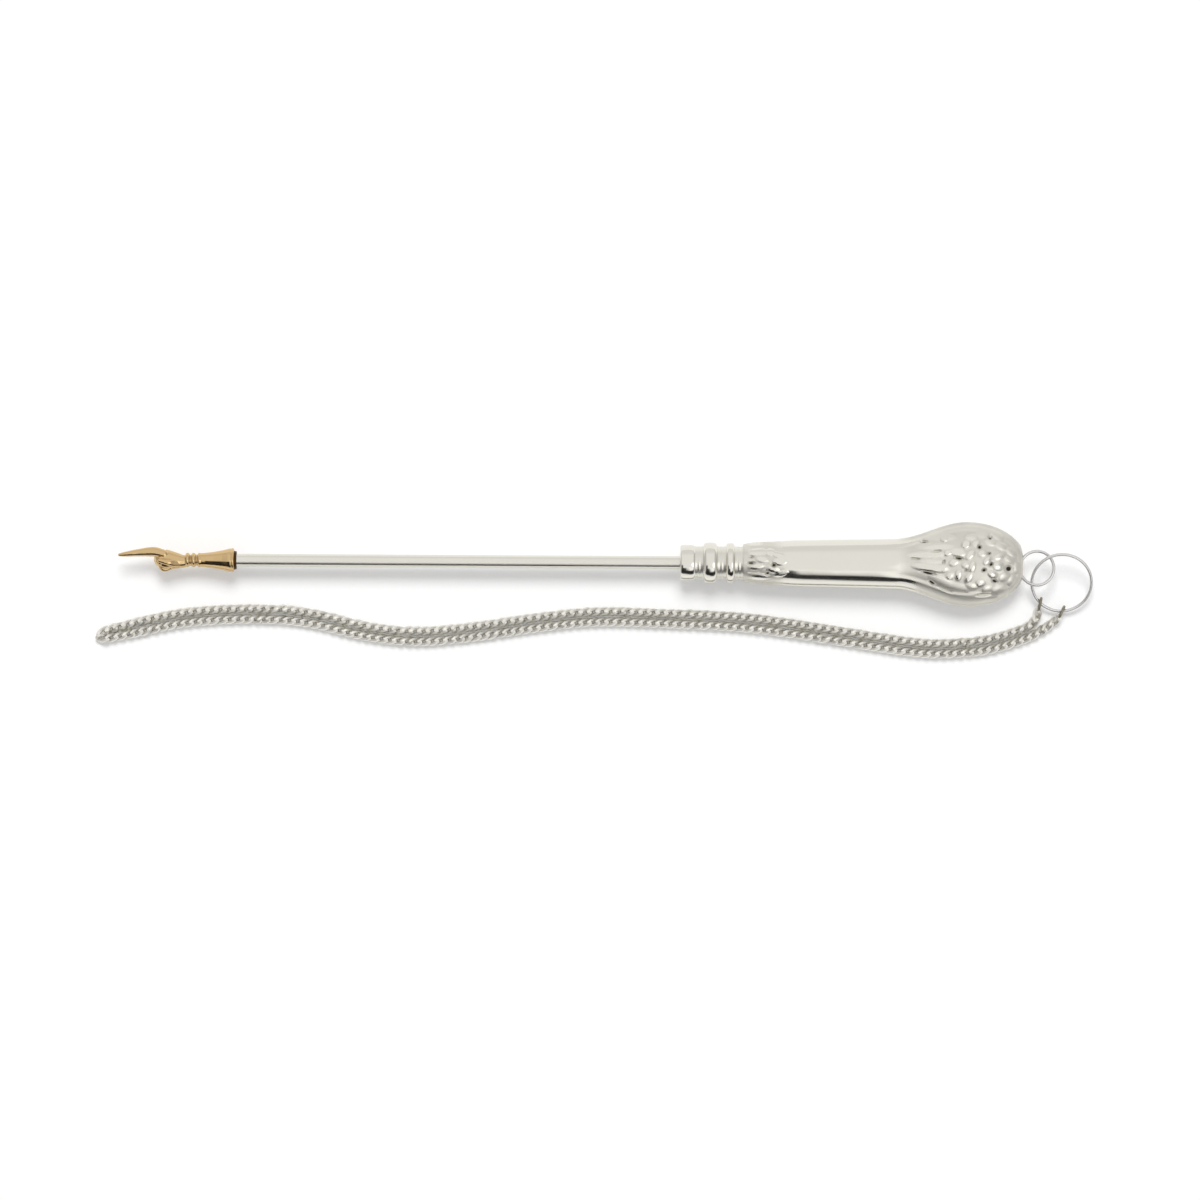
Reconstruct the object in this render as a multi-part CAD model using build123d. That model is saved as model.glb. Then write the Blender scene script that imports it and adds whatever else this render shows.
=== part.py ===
from build123d import *
from math import atan2, cos, degrees, hypot, pi, radians, sin, sqrt, tan
import os

# A Torah pointer lying on its back on a table: gilt hand, silver rod, hollow silver handle, chain.
# Millimetres. X runs along the pointer from the finger to the handle's end, Z is up from the table.
# The back of the hand faces +Y. The origin is on the table, half way between fingertip and terminal ring.

# Sizes of the pointer
AXIS_HEIGHT = 4.6
REST_DEPTH = 0.3
ROD_RADIUS = 1.48
ROD_SHOWN = 99.5
SOCKET_DEPTH = 6.5
TANG_LENGTH = 34.0
FIT = 0.02
SEAT = 0.05

# Sizes of the hand
CUFF_LENGTH = 8.0
CUFF_RADIUS = 2.75
CUFF_NECK_RADIUS = 1.55
CUFF_MIDDLE_RADIUS = 2.05
CUFF_RIM = 0.5
BEAD_COUNT = 3
BEAD_PITCH = 0.95
BEAD_RADIUS = 0.5
WRIST_HEIGHT = 2.9
WRIST_DEPTH = 2.6
HAND_LENGTH = 8.4
FIST_HEIGHT = 5.3
FIST_DEPTH = 4.4
FINGER_LENGTH = 7.7
FINGER_RADIUS = 0.95
FINGERTIP_RADIUS = 0.36
FINGER_RISE = 1.75
FINGERTIP_RISE = 1.1
CURLED_COUNT = 3
CURLED_RADIUS = 0.62
CURLED_BEND_RADIUS = 0.59
CURLED_TIP_RADIUS = 0.5
KNUCKLE_DROP = 1.18
THUMB_LENGTH = 4.0
THUMB_SINK = 0.31
THUMB_SLANT = 0.53
THUMB_ROOT_RADIUS = 0.74
THUMB_TIP_RADIUS = 0.56

# Oval sections of the palm: share of the hand's length from the wrist, of its height, of its depth
PALM_SECTIONS = [
    (1 / 3, 0.72, 0.8),
    (2 / 3, 0.95, 0.96),
    (0.926, 0.9, 0.88),
]

# Sizes of the ferrule
FIRST_RING_RADIUS = 4.05
FIRST_RING_WIDTH = 3.2
SECOND_RING_RADIUS = AXIS_HEIGHT
SECOND_RING_WIDTH = 3.2
THIRD_RING_RADIUS = 4.5
THIRD_RING_WIDTH = 2.0
COVE_RADIUS = 3.8
COVE_WIDTH = 1.9
SPIGOT_LENGTH = 4.0

# Sizes of the handle's two shells
MOUTH_RADIUS = 4.5
SWELL_LENGTH = 6.0
SWELL_WIDTH = 5.1
GRIP_LENGTH = 33.7
GRIP_WIDTH = 5.65
GRIP_DEPTH = 4.7
FLARE_LENGTH = 16.6
PADDLE_WIDTH = 9.5
PADDLE_DEPTH = AXIS_HEIGHT + REST_DEPTH
END_LENGTH = 12.5
TIP_WIDTH = 3.4
TIP_DEPTH = 1.7
SHELL_WALL = 0.7

# Sizes of the rings
TERMINAL_RING_RADIUS = 3.8
TERMINAL_WIRE_RADIUS = 0.42
TERMINAL_SINK = 0.7
TERMINAL_SIDE = -0.75
CHAIN_RING_RADIUS = 6.7
CHAIN_WIRE_RADIUS = 0.42
RING_CLEARANCE = 0.25
RING_REACH = 6.5
RING_BEARING = -30.0
LEFT_END_BEARING = -133.0
RIGHT_END_BEARING = -86.0
LEFT_LINK_HEADING = -103.0
RIGHT_LINK_HEADING = -115.0

# Sizes of the chain
CHAIN_WIDTH = 2.2
STRAND_GAP = 0.08
TABLE_GAP = 0.03
LINK_WIRE_RADIUS = 0.3
LINK_INSIDE = 1.35
LINK_LENGTH = 3.4
LINK_CLEARANCE = 0.12
JOINT_GAP = 0.25
ARC_SHARE = 0.45

# Middle line of the doubled chain on the table, from the ring to the fold, in X and Y
CHAIN_ROUTE = [
    (101.6, -14.3),
    (96.4, -16.3),
    (91.0, -18.0),
    (84.6, -18.8),
    (76.2, -19.1),
    (64.6, -17.4),
    (50.6, -15.2),
    (35.0, -13.1),
    (17.0, -12.5),
    (2.0, -12.0),
    (-12.0, -13.7),
    (-25.0, -15.8),
    (-38.0, -17.2),
    (-50.0, -15.9),
    (-63.0, -12.3),
    (-78.0, -11.9),
    (-91.0, -12.9),
    (-101.0, -15.2),
    (-108.4, -17.0),
]

# Places along the pointer
FERRULE_LENGTH = FIRST_RING_WIDTH + SECOND_RING_WIDTH + THIRD_RING_WIDTH + 3 * COVE_WIDTH
WRIST_LENGTH = BEAD_COUNT * BEAD_PITCH
SHELL_LENGTH = GRIP_LENGTH + FLARE_LENGTH + END_LENGTH
FRONT_LENGTH = CUFF_LENGTH + WRIST_LENGTH + HAND_LENGTH + FINGER_LENGTH
HANDLE_LENGTH = FERRULE_LENGTH + SHELL_LENGTH
TERMINAL_REACH = 2 * TERMINAL_RING_RADIUS + TERMINAL_WIRE_RADIUS - TERMINAL_SINK
OVERALL_LENGTH = FRONT_LENGTH + ROD_SHOWN + HANDLE_LENGTH + TERMINAL_REACH
FINGERTIP_X = -OVERALL_LENGTH / 2
CUFF_X = FINGERTIP_X + FRONT_LENGTH
FERRULE_X = CUFF_X + ROD_SHOWN
MOUTH_X = FERRULE_X + FERRULE_LENGTH
TIP_X = MOUTH_X + SHELL_LENGTH
TERMINAL_X = TIP_X + TERMINAL_RING_RADIUS - TERMINAL_SINK


def along(x):
    """Plane square to the pointer at x, with its own X along +Y and its own Y along +Z."""
    return Plane(origin=(x, 0, AXIS_HEIGHT), x_dir=(0, 1, 0), z_dir=(1, 0, 0))


def turned(profile):
    """Solid of revolution about the pointer's axis from (x, radius) points closed on the axis."""
    outline = [(profile[0][0], 0.0), *profile, (profile[-1][0], 0.0)]
    face = make_face(Polyline(*[(x, r, 0.0) for x, r in outline], close=True))
    return Pos(0, 0, AXIS_HEIGHT) * revolve(face, Axis.X)


def rod_between(start, end, start_radius, end_radius):
    """Tapered round bar with ball ends between two points."""
    a, b = Vector(*start), Vector(*end)
    plane = Plane(origin=a, z_dir=b - a)
    far = plane.offset((b - a).length)
    bar = loft([plane * Circle(start_radius), far * Circle(end_radius)])
    return bar + Pos(*start) * Sphere(start_radius) + Pos(*end) * Sphere(end_radius)


def ring_moulding(x, width, radius):
    """Half-round ring moulding whose crown has the given radius."""
    bulge = min(width / 2, radius - COVE_RADIUS)
    start = (x, radius - bulge)
    face = make_face(
        [
            Line((x, 0), start),
            ThreePointArc(start, (x + width / 2, radius), (x + width, radius - bulge)),
            Line((x + width, radius - bulge), (x + width, 0)),
            Line((x + width, 0), (x, 0)),
        ]
    )
    return Pos(0, 0, AXIS_HEIGHT) * revolve(face, Axis.X)


def make_cuff():
    """Flared cuff with a rolled rim, its neck and the beads round the wrist."""
    neck_x = CUFF_X - CUFF_LENGTH
    rim_x = CUFF_X - CUFF_RIM
    flare = ThreePointArc(
        (neck_x, CUFF_NECK_RADIUS),
        ((neck_x + rim_x) / 2, CUFF_MIDDLE_RADIUS),
        (rim_x, CUFF_RADIUS),
    )
    face = make_face(
        [
            Line((neck_x, 0), (neck_x, CUFF_NECK_RADIUS)),
            flare,
            Line((rim_x, CUFF_RADIUS), (CUFF_X, CUFF_RADIUS - CUFF_RIM / 2)),
            Line((CUFF_X, CUFF_RADIUS - CUFF_RIM / 2), (CUFF_X, 0)),
            Line((CUFF_X, 0), (neck_x, 0)),
        ]
    )
    cuff = Pos(0, 0, AXIS_HEIGHT) * revolve(face, Axis.X)
    wrist_x = neck_x - WRIST_LENGTH
    cuff += turned([(wrist_x - SEAT, WRIST_DEPTH / 2), (neck_x + SEAT, WRIST_DEPTH / 2)])
    for i in range(BEAD_COUNT):
        bead_x = neck_x - (i + 0.5) * BEAD_PITCH
        bead = Torus(CUFF_NECK_RADIUS - BEAD_RADIUS / 2, BEAD_RADIUS)
        cuff += Pos(bead_x, 0, AXIS_HEIGHT) * Rot(0, 90, 0) * bead
    return cuff


def make_pointing_hand():
    """Right hand with the index finger out and the other fingers closed, cast with its cuff."""
    wrist_x = CUFF_X - CUFF_LENGTH - WRIST_LENGTH
    knuckle_x = wrist_x - HAND_LENGTH
    fist_half = FIST_HEIGHT / 2
    sections = [along(wrist_x) * Ellipse(WRIST_HEIGHT / 2, WRIST_DEPTH / 2)]
    for place, height, depth in PALM_SECTIONS:
        oval = Ellipse(height * FIST_HEIGHT / 2, depth * FIST_DEPTH / 2)
        sections.append(along(wrist_x - place * HAND_LENGTH) * oval)
    hand = make_cuff() + loft(sections)
    finger_z = AXIS_HEIGHT + FIST_DEPTH / 2 - FINGER_RADIUS - CURLED_RADIUS
    finger_root = (knuckle_x + FINGER_RADIUS, FINGER_RISE, finger_z)
    fingertip = (FINGERTIP_X + FINGERTIP_RADIUS, FINGERTIP_RISE, finger_z)
    hand += rod_between(finger_root, fingertip, FINGER_RADIUS, FINGERTIP_RADIUS)
    row = (FIST_DEPTH - 2 * CURLED_RADIUS) / (CURLED_COUNT - 1)
    for i in range(CURLED_COUNT):
        z = AXIS_HEIGHT - FIST_DEPTH / 2 + CURLED_RADIUS + i * row
        knuckle = (knuckle_x + CURLED_RADIUS, fist_half - KNUCKLE_DROP, z)
        bend = (knuckle_x + CURLED_RADIUS, -fist_half + CURLED_RADIUS, z)
        tucked = (knuckle_x + HAND_LENGTH / 3, -fist_half + CURLED_RADIUS, z)
        hand += rod_between(knuckle, bend, CURLED_RADIUS, CURLED_BEND_RADIUS)
        hand += rod_between(bend, tucked, CURLED_BEND_RADIUS, CURLED_TIP_RADIUS)
    thumb_x = knuckle_x + CURLED_RADIUS
    thumb_z = AXIS_HEIGHT + FIST_DEPTH / 2 - THUMB_SINK
    thumb_root = (thumb_x + THUMB_LENGTH, THUMB_SLANT, thumb_z - 2 * THUMB_SINK)
    thumb_tip = (thumb_x, -THUMB_SLANT, thumb_z)
    hand += rod_between(thumb_root, thumb_tip, THUMB_ROOT_RADIUS, THUMB_TIP_RADIUS)
    socket_radius = ROD_RADIUS + FIT
    return hand - turned([(CUFF_X - SOCKET_DEPTH, socket_radius), (CUFF_X + SEAT, socket_radius)])


def make_rod():
    """Plain rod from the bottom of the cuff's socket to the end of the tang."""
    start = CUFF_X - SOCKET_DEPTH + SEAT
    end = MOUTH_X + TANG_LENGTH
    return turned([(start, ROD_RADIUS), (end, ROD_RADIUS)])


def make_ferrule():
    """Three ring mouldings with coves between them, bored for the rod, with a spigot behind."""
    second_x = FERRULE_X + FIRST_RING_WIDTH + COVE_WIDTH
    third_x = second_x + SECOND_RING_WIDTH + COVE_WIDTH
    spigot_end = MOUTH_X + SPIGOT_LENGTH
    spigot_radius = MOUTH_RADIUS - SHELL_WALL - SEAT
    ferrule = turned([(FERRULE_X, COVE_RADIUS), (MOUTH_X, COVE_RADIUS)])
    ferrule += turned([(MOUTH_X - SEAT, spigot_radius), (spigot_end, spigot_radius)])
    ferrule += ring_moulding(FERRULE_X, FIRST_RING_WIDTH, FIRST_RING_RADIUS)
    ferrule += ring_moulding(second_x, SECOND_RING_WIDTH, SECOND_RING_RADIUS)
    ferrule += ring_moulding(third_x, THIRD_RING_WIDTH, THIRD_RING_RADIUS)
    bore = turned([(FERRULE_X - SEAT, ROD_RADIUS + FIT), (spigot_end + SEAT, ROD_RADIUS + FIT)])
    return ferrule - bore


def handle_half_width(x):
    """Half width of the handle seen from above, at x from its mouth: swell, taper, flare, round end."""
    if x <= SWELL_LENGTH:
        return MOUTH_RADIUS + (SWELL_WIDTH - MOUTH_RADIUS) * sin(pi / 2 * x / SWELL_LENGTH)
    if x <= GRIP_LENGTH:
        gone = (x - SWELL_LENGTH) / (GRIP_LENGTH - SWELL_LENGTH)
        return SWELL_WIDTH + (GRIP_WIDTH - SWELL_WIDTH) * gone
    if x <= GRIP_LENGTH + FLARE_LENGTH:
        blend = (1 - cos(pi * (x - GRIP_LENGTH) / FLARE_LENGTH)) / 2
        return GRIP_WIDTH + (PADDLE_WIDTH - GRIP_WIDTH) * blend
    gone = (x - GRIP_LENGTH - FLARE_LENGTH) / END_LENGTH
    return sqrt(PADDLE_WIDTH**2 - (PADDLE_WIDTH**2 - TIP_WIDTH**2) * gone**2)


def handle_half_depth(x):
    """Half depth of the handle seen from the side, at x from its mouth."""
    if x <= SWELL_LENGTH:
        return MOUTH_RADIUS + (GRIP_DEPTH - MOUTH_RADIUS) * sin(pi / 2 * x / SWELL_LENGTH)
    if x <= GRIP_LENGTH:
        return GRIP_DEPTH
    if x <= GRIP_LENGTH + FLARE_LENGTH:
        blend = (1 - cos(pi * (x - GRIP_LENGTH) / FLARE_LENGTH)) / 2
        return GRIP_DEPTH + (PADDLE_DEPTH - GRIP_DEPTH) * blend
    gone = (x - GRIP_LENGTH - FLARE_LENGTH) / END_LENGTH
    return sqrt(PADDLE_DEPTH**2 - (PADDLE_DEPTH**2 - TIP_DEPTH**2) * gone**2)


def handle_loft(inset):
    """Solid through oval sections of the handle from its mouth to its tip, drawn in by inset all round."""
    grip_steps, flare_steps, end_shares = 8, 4, (0.35, 0.63, 0.84, 1.0)
    stations = [GRIP_LENGTH * i / grip_steps for i in range(grip_steps)]
    stations += [GRIP_LENGTH + FLARE_LENGTH * i / flare_steps for i in range(flare_steps + 1)]
    stations += [GRIP_LENGTH + FLARE_LENGTH + END_LENGTH * share for share in end_shares]
    sections = []
    for x in stations:
        drawn_in = inset * max(0.0, x - GRIP_LENGTH - FLARE_LENGTH) / END_LENGTH
        oval = Ellipse(handle_half_width(x) - inset, handle_half_depth(x) - inset)
        sections.append(along(MOUTH_X + x - drawn_in) * oval)
    return loft(sections)


def terminal_torus(wire_radius):
    """Torus on the terminal ring's middle line, which lies a little to the chain's side."""
    place = Pos(TERMINAL_X, TERMINAL_SIDE, AXIS_HEIGHT)
    return place * Torus(TERMINAL_RING_RADIUS, wire_radius)


def make_handle_shells():
    """The two struck halves of the hollow handle, open at the mouth and notched for the ring."""
    outside = handle_loft(0.0)
    inside = handle_loft(SHELL_WALL)
    mouth_radius = MOUTH_RADIUS - SHELL_WALL
    mouth = turned([(MOUTH_X - SEAT, mouth_radius), (MOUTH_X + SEAT, mouth_radius)])
    notch = terminal_torus(TERMINAL_WIRE_RADIUS + FIT)
    shell = outside - inside - mouth - notch
    reach = 2 * (SHELL_LENGTH + PADDLE_WIDTH)
    upper = Pos(MOUTH_X, 0, AXIS_HEIGHT + reach / 2) * Box(reach, reach, reach)
    lower = Pos(MOUTH_X, 0, AXIS_HEIGHT / 2) * Box(reach, reach, AXIS_HEIGHT)
    return shell & upper, shell & lower


def make_filler():
    """Cement core between the ferrule's spigot and the tip, moulded round the tang."""
    inside = handle_loft(SHELL_WALL + SEAT)
    reach = 2 * (SHELL_LENGTH + PADDLE_WIDTH)
    start = MOUTH_X + SPIGOT_LENGTH + SEAT
    kept = Pos(start + reach / 2, 0, AXIS_HEIGHT) * Box(reach, reach, reach)
    end = MOUTH_X + TANG_LENGTH + SEAT
    bore = turned([(MOUTH_X, ROD_RADIUS + FIT), (end, ROD_RADIUS + FIT)])
    notch = terminal_torus(TERMINAL_WIRE_RADIUS + SEAT)
    return (inside & kept) - bore - notch


def make_terminal_ring():
    """Wire ring that lies level in the handle's tip."""
    return terminal_torus(TERMINAL_WIRE_RADIUS)


def chain_ring_plane():
    """Plane of the chain ring: it leans on the terminal ring and comes down to the chain's end links.

    Across the line between the two rings the plane climbs enough to pass under the terminal ring on
    one side and over it on the other. Along that line it drops until its lowest point leaves room for
    a link between the wire and the table.
    """
    bearing = radians(RING_BEARING)
    toward = Vector(cos(bearing), sin(bearing), 0)
    across = Vector(-sin(bearing), cos(bearing), 0)
    crossing = (RING_REACH**2 + CHAIN_RING_RADIUS**2 - TERMINAL_RING_RADIUS**2) / (2 * RING_REACH)
    spread = sqrt(CHAIN_RING_RADIUS**2 - crossing**2)
    climb = (TERMINAL_WIRE_RADIUS + CHAIN_WIRE_RADIUS + RING_CLEARANCE) / spread
    lowest = LINK_INSIDE / 2 + 2 * LINK_WIRE_RADIUS + TABLE_GAP
    height = AXIS_HEIGHT - lowest
    a = crossing**2 - CHAIN_RING_RADIUS**2
    b = -2 * height * crossing
    c = height**2 - (CHAIN_RING_RADIUS * climb) ** 2
    drop = (-b - sqrt(b * b - 4 * a * c)) / (2 * a)
    pivot = Vector(TERMINAL_X, TERMINAL_SIDE, AXIS_HEIGHT - drop * crossing)
    centre = pivot + toward * RING_REACH
    normal = Vector(0, 0, 1) + toward * drop - across * climb
    return Plane(origin=centre, x_dir=toward - Vector(0, 0, 1) * drop, z_dir=normal)


def ring_point(bearing):
    """Middle of the chain ring's wire on the given bearing from the ring's centre, seen from above."""
    plane = chain_ring_plane()
    turn = radians(bearing - RING_BEARING)
    return plane.from_local_coords(
        Vector(CHAIN_RING_RADIUS * cos(turn), CHAIN_RING_RADIUS * sin(turn), 0)
    )


def make_chain_ring():
    """Larger wire ring, leaning through the terminal ring."""
    return chain_ring_plane().location * Torus(CHAIN_RING_RADIUS, CHAIN_WIRE_RADIUS)


def end_link_place(bearing, heading):
    """Plane of an end link: origin on the ring's wire, X along the link, sloping down to the strand."""
    at = ring_point(bearing)
    way = Vector(cos(radians(heading)), sin(radians(heading)), 0)
    fall = (at.Z - strand_height()) / LINK_LENGTH
    return Plane(origin=at, x_dir=way - Vector(0, 0, 1) * fall, z_dir=way.cross(Vector(0, 0, 1)))


def end_link_span():
    """Where a link's two bends are centred along its own X, measured from the ring's wire."""
    near = CHAIN_WIRE_RADIUS + LINK_CLEARANCE - LINK_INSIDE / 2
    straight = LINK_LENGTH - LINK_INSIDE - 4 * LINK_WIRE_RADIUS
    return near, near + straight


def make_end_link(bearing, heading):
    """Upright oval link hung on the ring's wire, reaching away along heading (degrees from +X)."""
    bend = LINK_INSIDE / 2 + LINK_WIRE_RADIUS
    near, far = end_link_span()
    line = Wire(
        [
            Edge.make_line((near, bend, 0), (far, bend, 0)),
            Edge.make_three_point_arc((far, bend, 0), (far + bend, 0, 0), (far, -bend, 0)),
            Edge.make_line((far, -bend, 0), (near, -bend, 0)),
            Edge.make_three_point_arc((near, -bend, 0), (near - bend, 0, 0), (near, bend, 0)),
        ]
    )
    section = Plane(origin=(near, bend, 0), z_dir=(1, 0, 0)) * Circle(LINK_WIRE_RADIUS)
    return end_link_place(bearing, heading).location * sweep(section, path=line)


def make_lead(bearing, heading, side):
    """Short stretch of chain from an end link to the ball at the start of a strand."""
    reach = end_link_span()[1] + LINK_INSIDE / 2 + 2 * LINK_WIRE_RADIUS + JOINT_GAP
    start = end_link_place(bearing, heading).from_local_coords(Vector(reach, 0, 0))
    ball = Vector(*strand_points(side)[0])
    way = (ball - start).normalized()
    length = (ball - start).length - CHAIN_WIDTH / 2 - JOINT_GAP
    return extrude(Plane(origin=start, z_dir=way) * Circle(CHAIN_WIDTH / 2), length)


def strand_height():
    """Height of a strand's middle when it lies on the table."""
    return CHAIN_WIDTH / 2 + TABLE_GAP


def strand_points(side):
    """Route of one strand: the middle line moved half a strand to one side, +1 nearer the pointer."""
    step = side * (CHAIN_WIDTH + STRAND_GAP) / 2
    points = []
    for i, (x, y) in enumerate(CHAIN_ROUTE):
        before = CHAIN_ROUTE[max(i - 1, 0)]
        after = CHAIN_ROUTE[min(i + 1, len(CHAIN_ROUTE) - 1)]
        run_x, run_y = after[0] - before[0], after[1] - before[1]
        length = hypot(run_x, run_y)
        points.append((x + step * run_y / length, y - step * run_x / length, strand_height()))
    return points


def tube(points, name):
    """Plain round tube along straight runs joined by arcs as large as the runs allow."""
    radii = []
    for before, here, after in zip(points, points[1:], points[2:]):
        first, second = Vector(*here) - Vector(*before), Vector(*after) - Vector(*here)
        half_turn = radians(first.get_angle(second)) / 2
        radii.append(ARC_SHARE * min(first.length, second.length) / tan(half_turn))
    path = FilletPolyline(*points, radius=radii)
    start = Plane(origin=path @ 0, z_dir=path % 0)
    solid = sweep(start * Circle(CHAIN_WIDTH / 2), path=path)
    section = pi * (CHAIN_WIDTH / 2) ** 2
    print(name, "length", round(path.length, 2), "radii", [round(r, 1) for r in radii])
    print(name, "volume over section times length", round(solid.volume / (section * path.length), 5))
    return solid


def make_strand(side, name):
    """One strand, with a ball at the ring's end that turns in the lead and a square far end."""
    points = strand_points(side)
    return tube(points, name) + Pos(*points[0]) * Sphere(CHAIN_WIDTH / 2)


def make_chain_fold():
    """The turned links at the far end, from one strand round to the other."""
    last, before = CHAIN_ROUTE[-1], CHAIN_ROUTE[-2]
    way = atan2(last[1] - before[1], last[0] - before[0])
    radius = (CHAIN_WIDTH + STRAND_GAP) / 2
    middle = Pos(last[0], last[1], strand_height()) * Rot(0, 0, degrees(way) - 90)
    wire = CHAIN_WIDTH / 2 - STRAND_GAP
    return middle * Torus(radius, wire, major_angle=180, align=None)


def main():
    os.makedirs("parts", exist_ok=True)
    front_shell, back_shell = make_handle_shells()
    nodes = {
        "pointing_hand": make_pointing_hand(),
        "rod": make_rod(),
        "ferrule": make_ferrule(),
        "handle_front_shell": front_shell,
        "handle_back_shell": back_shell,
        "handle_filler": make_filler(),
        "terminal_ring": make_terminal_ring(),
        "chain_ring": make_chain_ring(),
        "chain_end_link_left": make_end_link(LEFT_END_BEARING, LEFT_LINK_HEADING),
        "chain_end_link_right": make_end_link(RIGHT_END_BEARING, RIGHT_LINK_HEADING),
        "chain_lead_left": make_lead(LEFT_END_BEARING, LEFT_LINK_HEADING, 1),
        "chain_lead_right": make_lead(RIGHT_END_BEARING, RIGHT_LINK_HEADING, -1),
        "chain_strand_upper": make_strand(1, "upper strand"),
        "chain_strand_lower": make_strand(-1, "lower strand"),
        "chain_fold": make_chain_fold(),
    }
    for name, shape in nodes.items():
        export_step(shape, f"parts/{name}.step")
        box = shape.bounding_box()
        print(name, round(shape.volume, 2), [round(v, 2) for v in (*box.min, *box.max)])


main()
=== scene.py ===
"""Dresses a Torah pointer: gilt hand, silver rod, struck handle with flowers, wire rings and curb chain."""

import logging
import math
from dataclasses import dataclass, field
from enum import Enum

import bmesh
import bpy
import numpy as np
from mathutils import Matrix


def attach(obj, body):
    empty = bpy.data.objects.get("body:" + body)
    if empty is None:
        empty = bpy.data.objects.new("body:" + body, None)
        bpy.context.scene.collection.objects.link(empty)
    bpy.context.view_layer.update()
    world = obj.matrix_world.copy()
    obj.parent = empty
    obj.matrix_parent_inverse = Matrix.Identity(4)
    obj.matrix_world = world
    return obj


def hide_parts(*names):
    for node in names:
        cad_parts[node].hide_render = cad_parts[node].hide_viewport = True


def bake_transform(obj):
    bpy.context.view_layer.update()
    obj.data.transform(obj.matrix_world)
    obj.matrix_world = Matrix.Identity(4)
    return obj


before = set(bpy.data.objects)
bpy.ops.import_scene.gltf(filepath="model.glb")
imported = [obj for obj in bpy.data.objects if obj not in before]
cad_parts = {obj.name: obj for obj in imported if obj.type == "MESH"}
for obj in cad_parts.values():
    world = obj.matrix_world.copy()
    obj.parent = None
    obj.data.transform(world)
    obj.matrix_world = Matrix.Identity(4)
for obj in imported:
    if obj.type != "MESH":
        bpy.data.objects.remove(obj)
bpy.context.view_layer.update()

LOG = logging.getLogger("pointer")
MM = 0.001
AXIS_HEIGHT = 4.6
SHARP_DEGREES = 50.0
Array = np.ndarray
Colour = tuple[float, float, float]
CLEAN_SILVER: Colour = (0.80, 0.776, 0.706)
RUBBED_SILVER: Colour = (0.86, 0.84, 0.78)


class Body(Enum):
    """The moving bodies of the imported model."""

    POINTER = "pointer"
    RING = "ring"
    CHAIN = "chain"


class Slot(Enum):
    """The record's material slots."""

    GILT = "gilt"
    SILVER = "silver"
    WIRE = "ring_wire"
    CHAIN = "chain_silver"


def smoothstep(low: float, high: float, value: Array) -> Array:
    """Cubic step 3t2 - 2t3 of the value from low to high.

    Args:
        low: value where the step is 0.
        high: value where the step is 1.
        value: numbers to step.

    Returns:
        Numbers from 0 to 1.
    """
    t = np.clip((value - low) / (high - low), 0.0, 1.0)
    return t * t * (3.0 - 2.0 * t)


def unit(vectors: Array) -> Array:
    """Vectors along the last axis, divided by their length."""
    return vectors / np.maximum(np.linalg.norm(vectors, axis=-1, keepdims=True), 1e-12)


def flowing(rows: Array, count: int) -> Array:
    """Catmull-Rom curve through rows of numbers, which may hold radii after the coordinates.

    Each stretch from b to c is 0.5 (2b + (c-a)t + (2a-5b+4c-d)t2 + (3b-a-3c+d)t3).

    Args:
        rows: one row per point that the curve goes through.
        count: number of rows in the result.

    Returns:
        Rows evenly spaced in the curve's own parameter.
    """
    rows = np.asarray(rows, float)
    padded = np.vstack([2 * rows[0] - rows[1], rows, 2 * rows[-1] - rows[-2]])
    place = np.linspace(0.0, len(rows) - 1.0, count)
    cell = np.minimum(place.astype(int), len(rows) - 2)
    t = (place - cell)[:, None]
    a, b, c, d = padded[cell], padded[cell + 1], padded[cell + 2], padded[cell + 3]
    return 0.5 * (2 * b + (c - a) * t + (2 * a - 5 * b + 4 * c - d) * t**2 + (3 * b - a - 3 * c + d) * t**3)


def tube_grid(path: Array, radii: Array, sides: int, up: Array, closed: bool = False) -> Array:
    """Oval carried along a path: p + side ra cos t + over rb sin t.

    Over is the part of up that is square to the path.

    Args:
        path: points along the middle, one row each.
        radii: two radii for each point, across and along up.
        sides: points round the oval.
        up: direction that the second radius follows, one for all or one for each point.
        closed: True where the path ends where it starts.

    Returns:
        Grid of points, along the path by round the oval.
    """
    if closed:
        way = unit(np.roll(path, -1, axis=0) - np.roll(path, 1, axis=0))
    else:
        way = unit(np.gradient(path, axis=0))
    up = np.broadcast_to(np.asarray(up, float), path.shape)
    over = unit(up - np.sum(up * way, axis=1, keepdims=True) * way)
    side = np.cross(way, over)
    turn = np.linspace(0.0, 2.0 * math.pi, sides, endpoint=False)
    across = side[:, None, :] * (radii[:, :1] * np.cos(turn))[:, :, None]
    upright = over[:, None, :] * (radii[:, 1:2] * np.sin(turn))[:, :, None]
    return path[:, None, :] + across + upright


def limb_grid(rows: Array, count: int, sides: int, up: Array, ends: int = 7) -> Array:
    """Flowing tube with domed ends through rows of x, y, z and two radii.

    A dome is the end's own oval, shrunk by cos a and moved out by r sin a, for a from 0 to 90 degrees.

    Args:
        rows: x, y, z, radius across, radius along up.
        count: rings between the two ends.
        sides: points round each ring.
        up: direction of the second radius.
        ends: rings in each dome.

    Returns:
        Grid of points, along the limb by round it.
    """
    middle = flowing(rows, count)
    lift = np.linspace(0.0, 0.5 * math.pi, ends + 1)[1:]
    shrink = np.maximum(np.cos(lift), 0.02)[:, None]
    first, last = middle[0], middle[-1]
    back = unit(middle[0, :3] - middle[1, :3])
    on = unit(middle[-1, :3] - middle[-2, :3])
    head = np.hstack([first[:3] + back * np.sin(lift)[:, None] * first[3:].mean(), first[3:] * shrink])[::-1]
    tail = np.hstack([last[:3] + on * np.sin(lift)[:, None] * last[3:].mean(), last[3:] * shrink])
    whole = np.vstack([head, middle, tail])
    return tube_grid(whole[:, :3], whole[:, 3:], sides, up)


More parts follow.
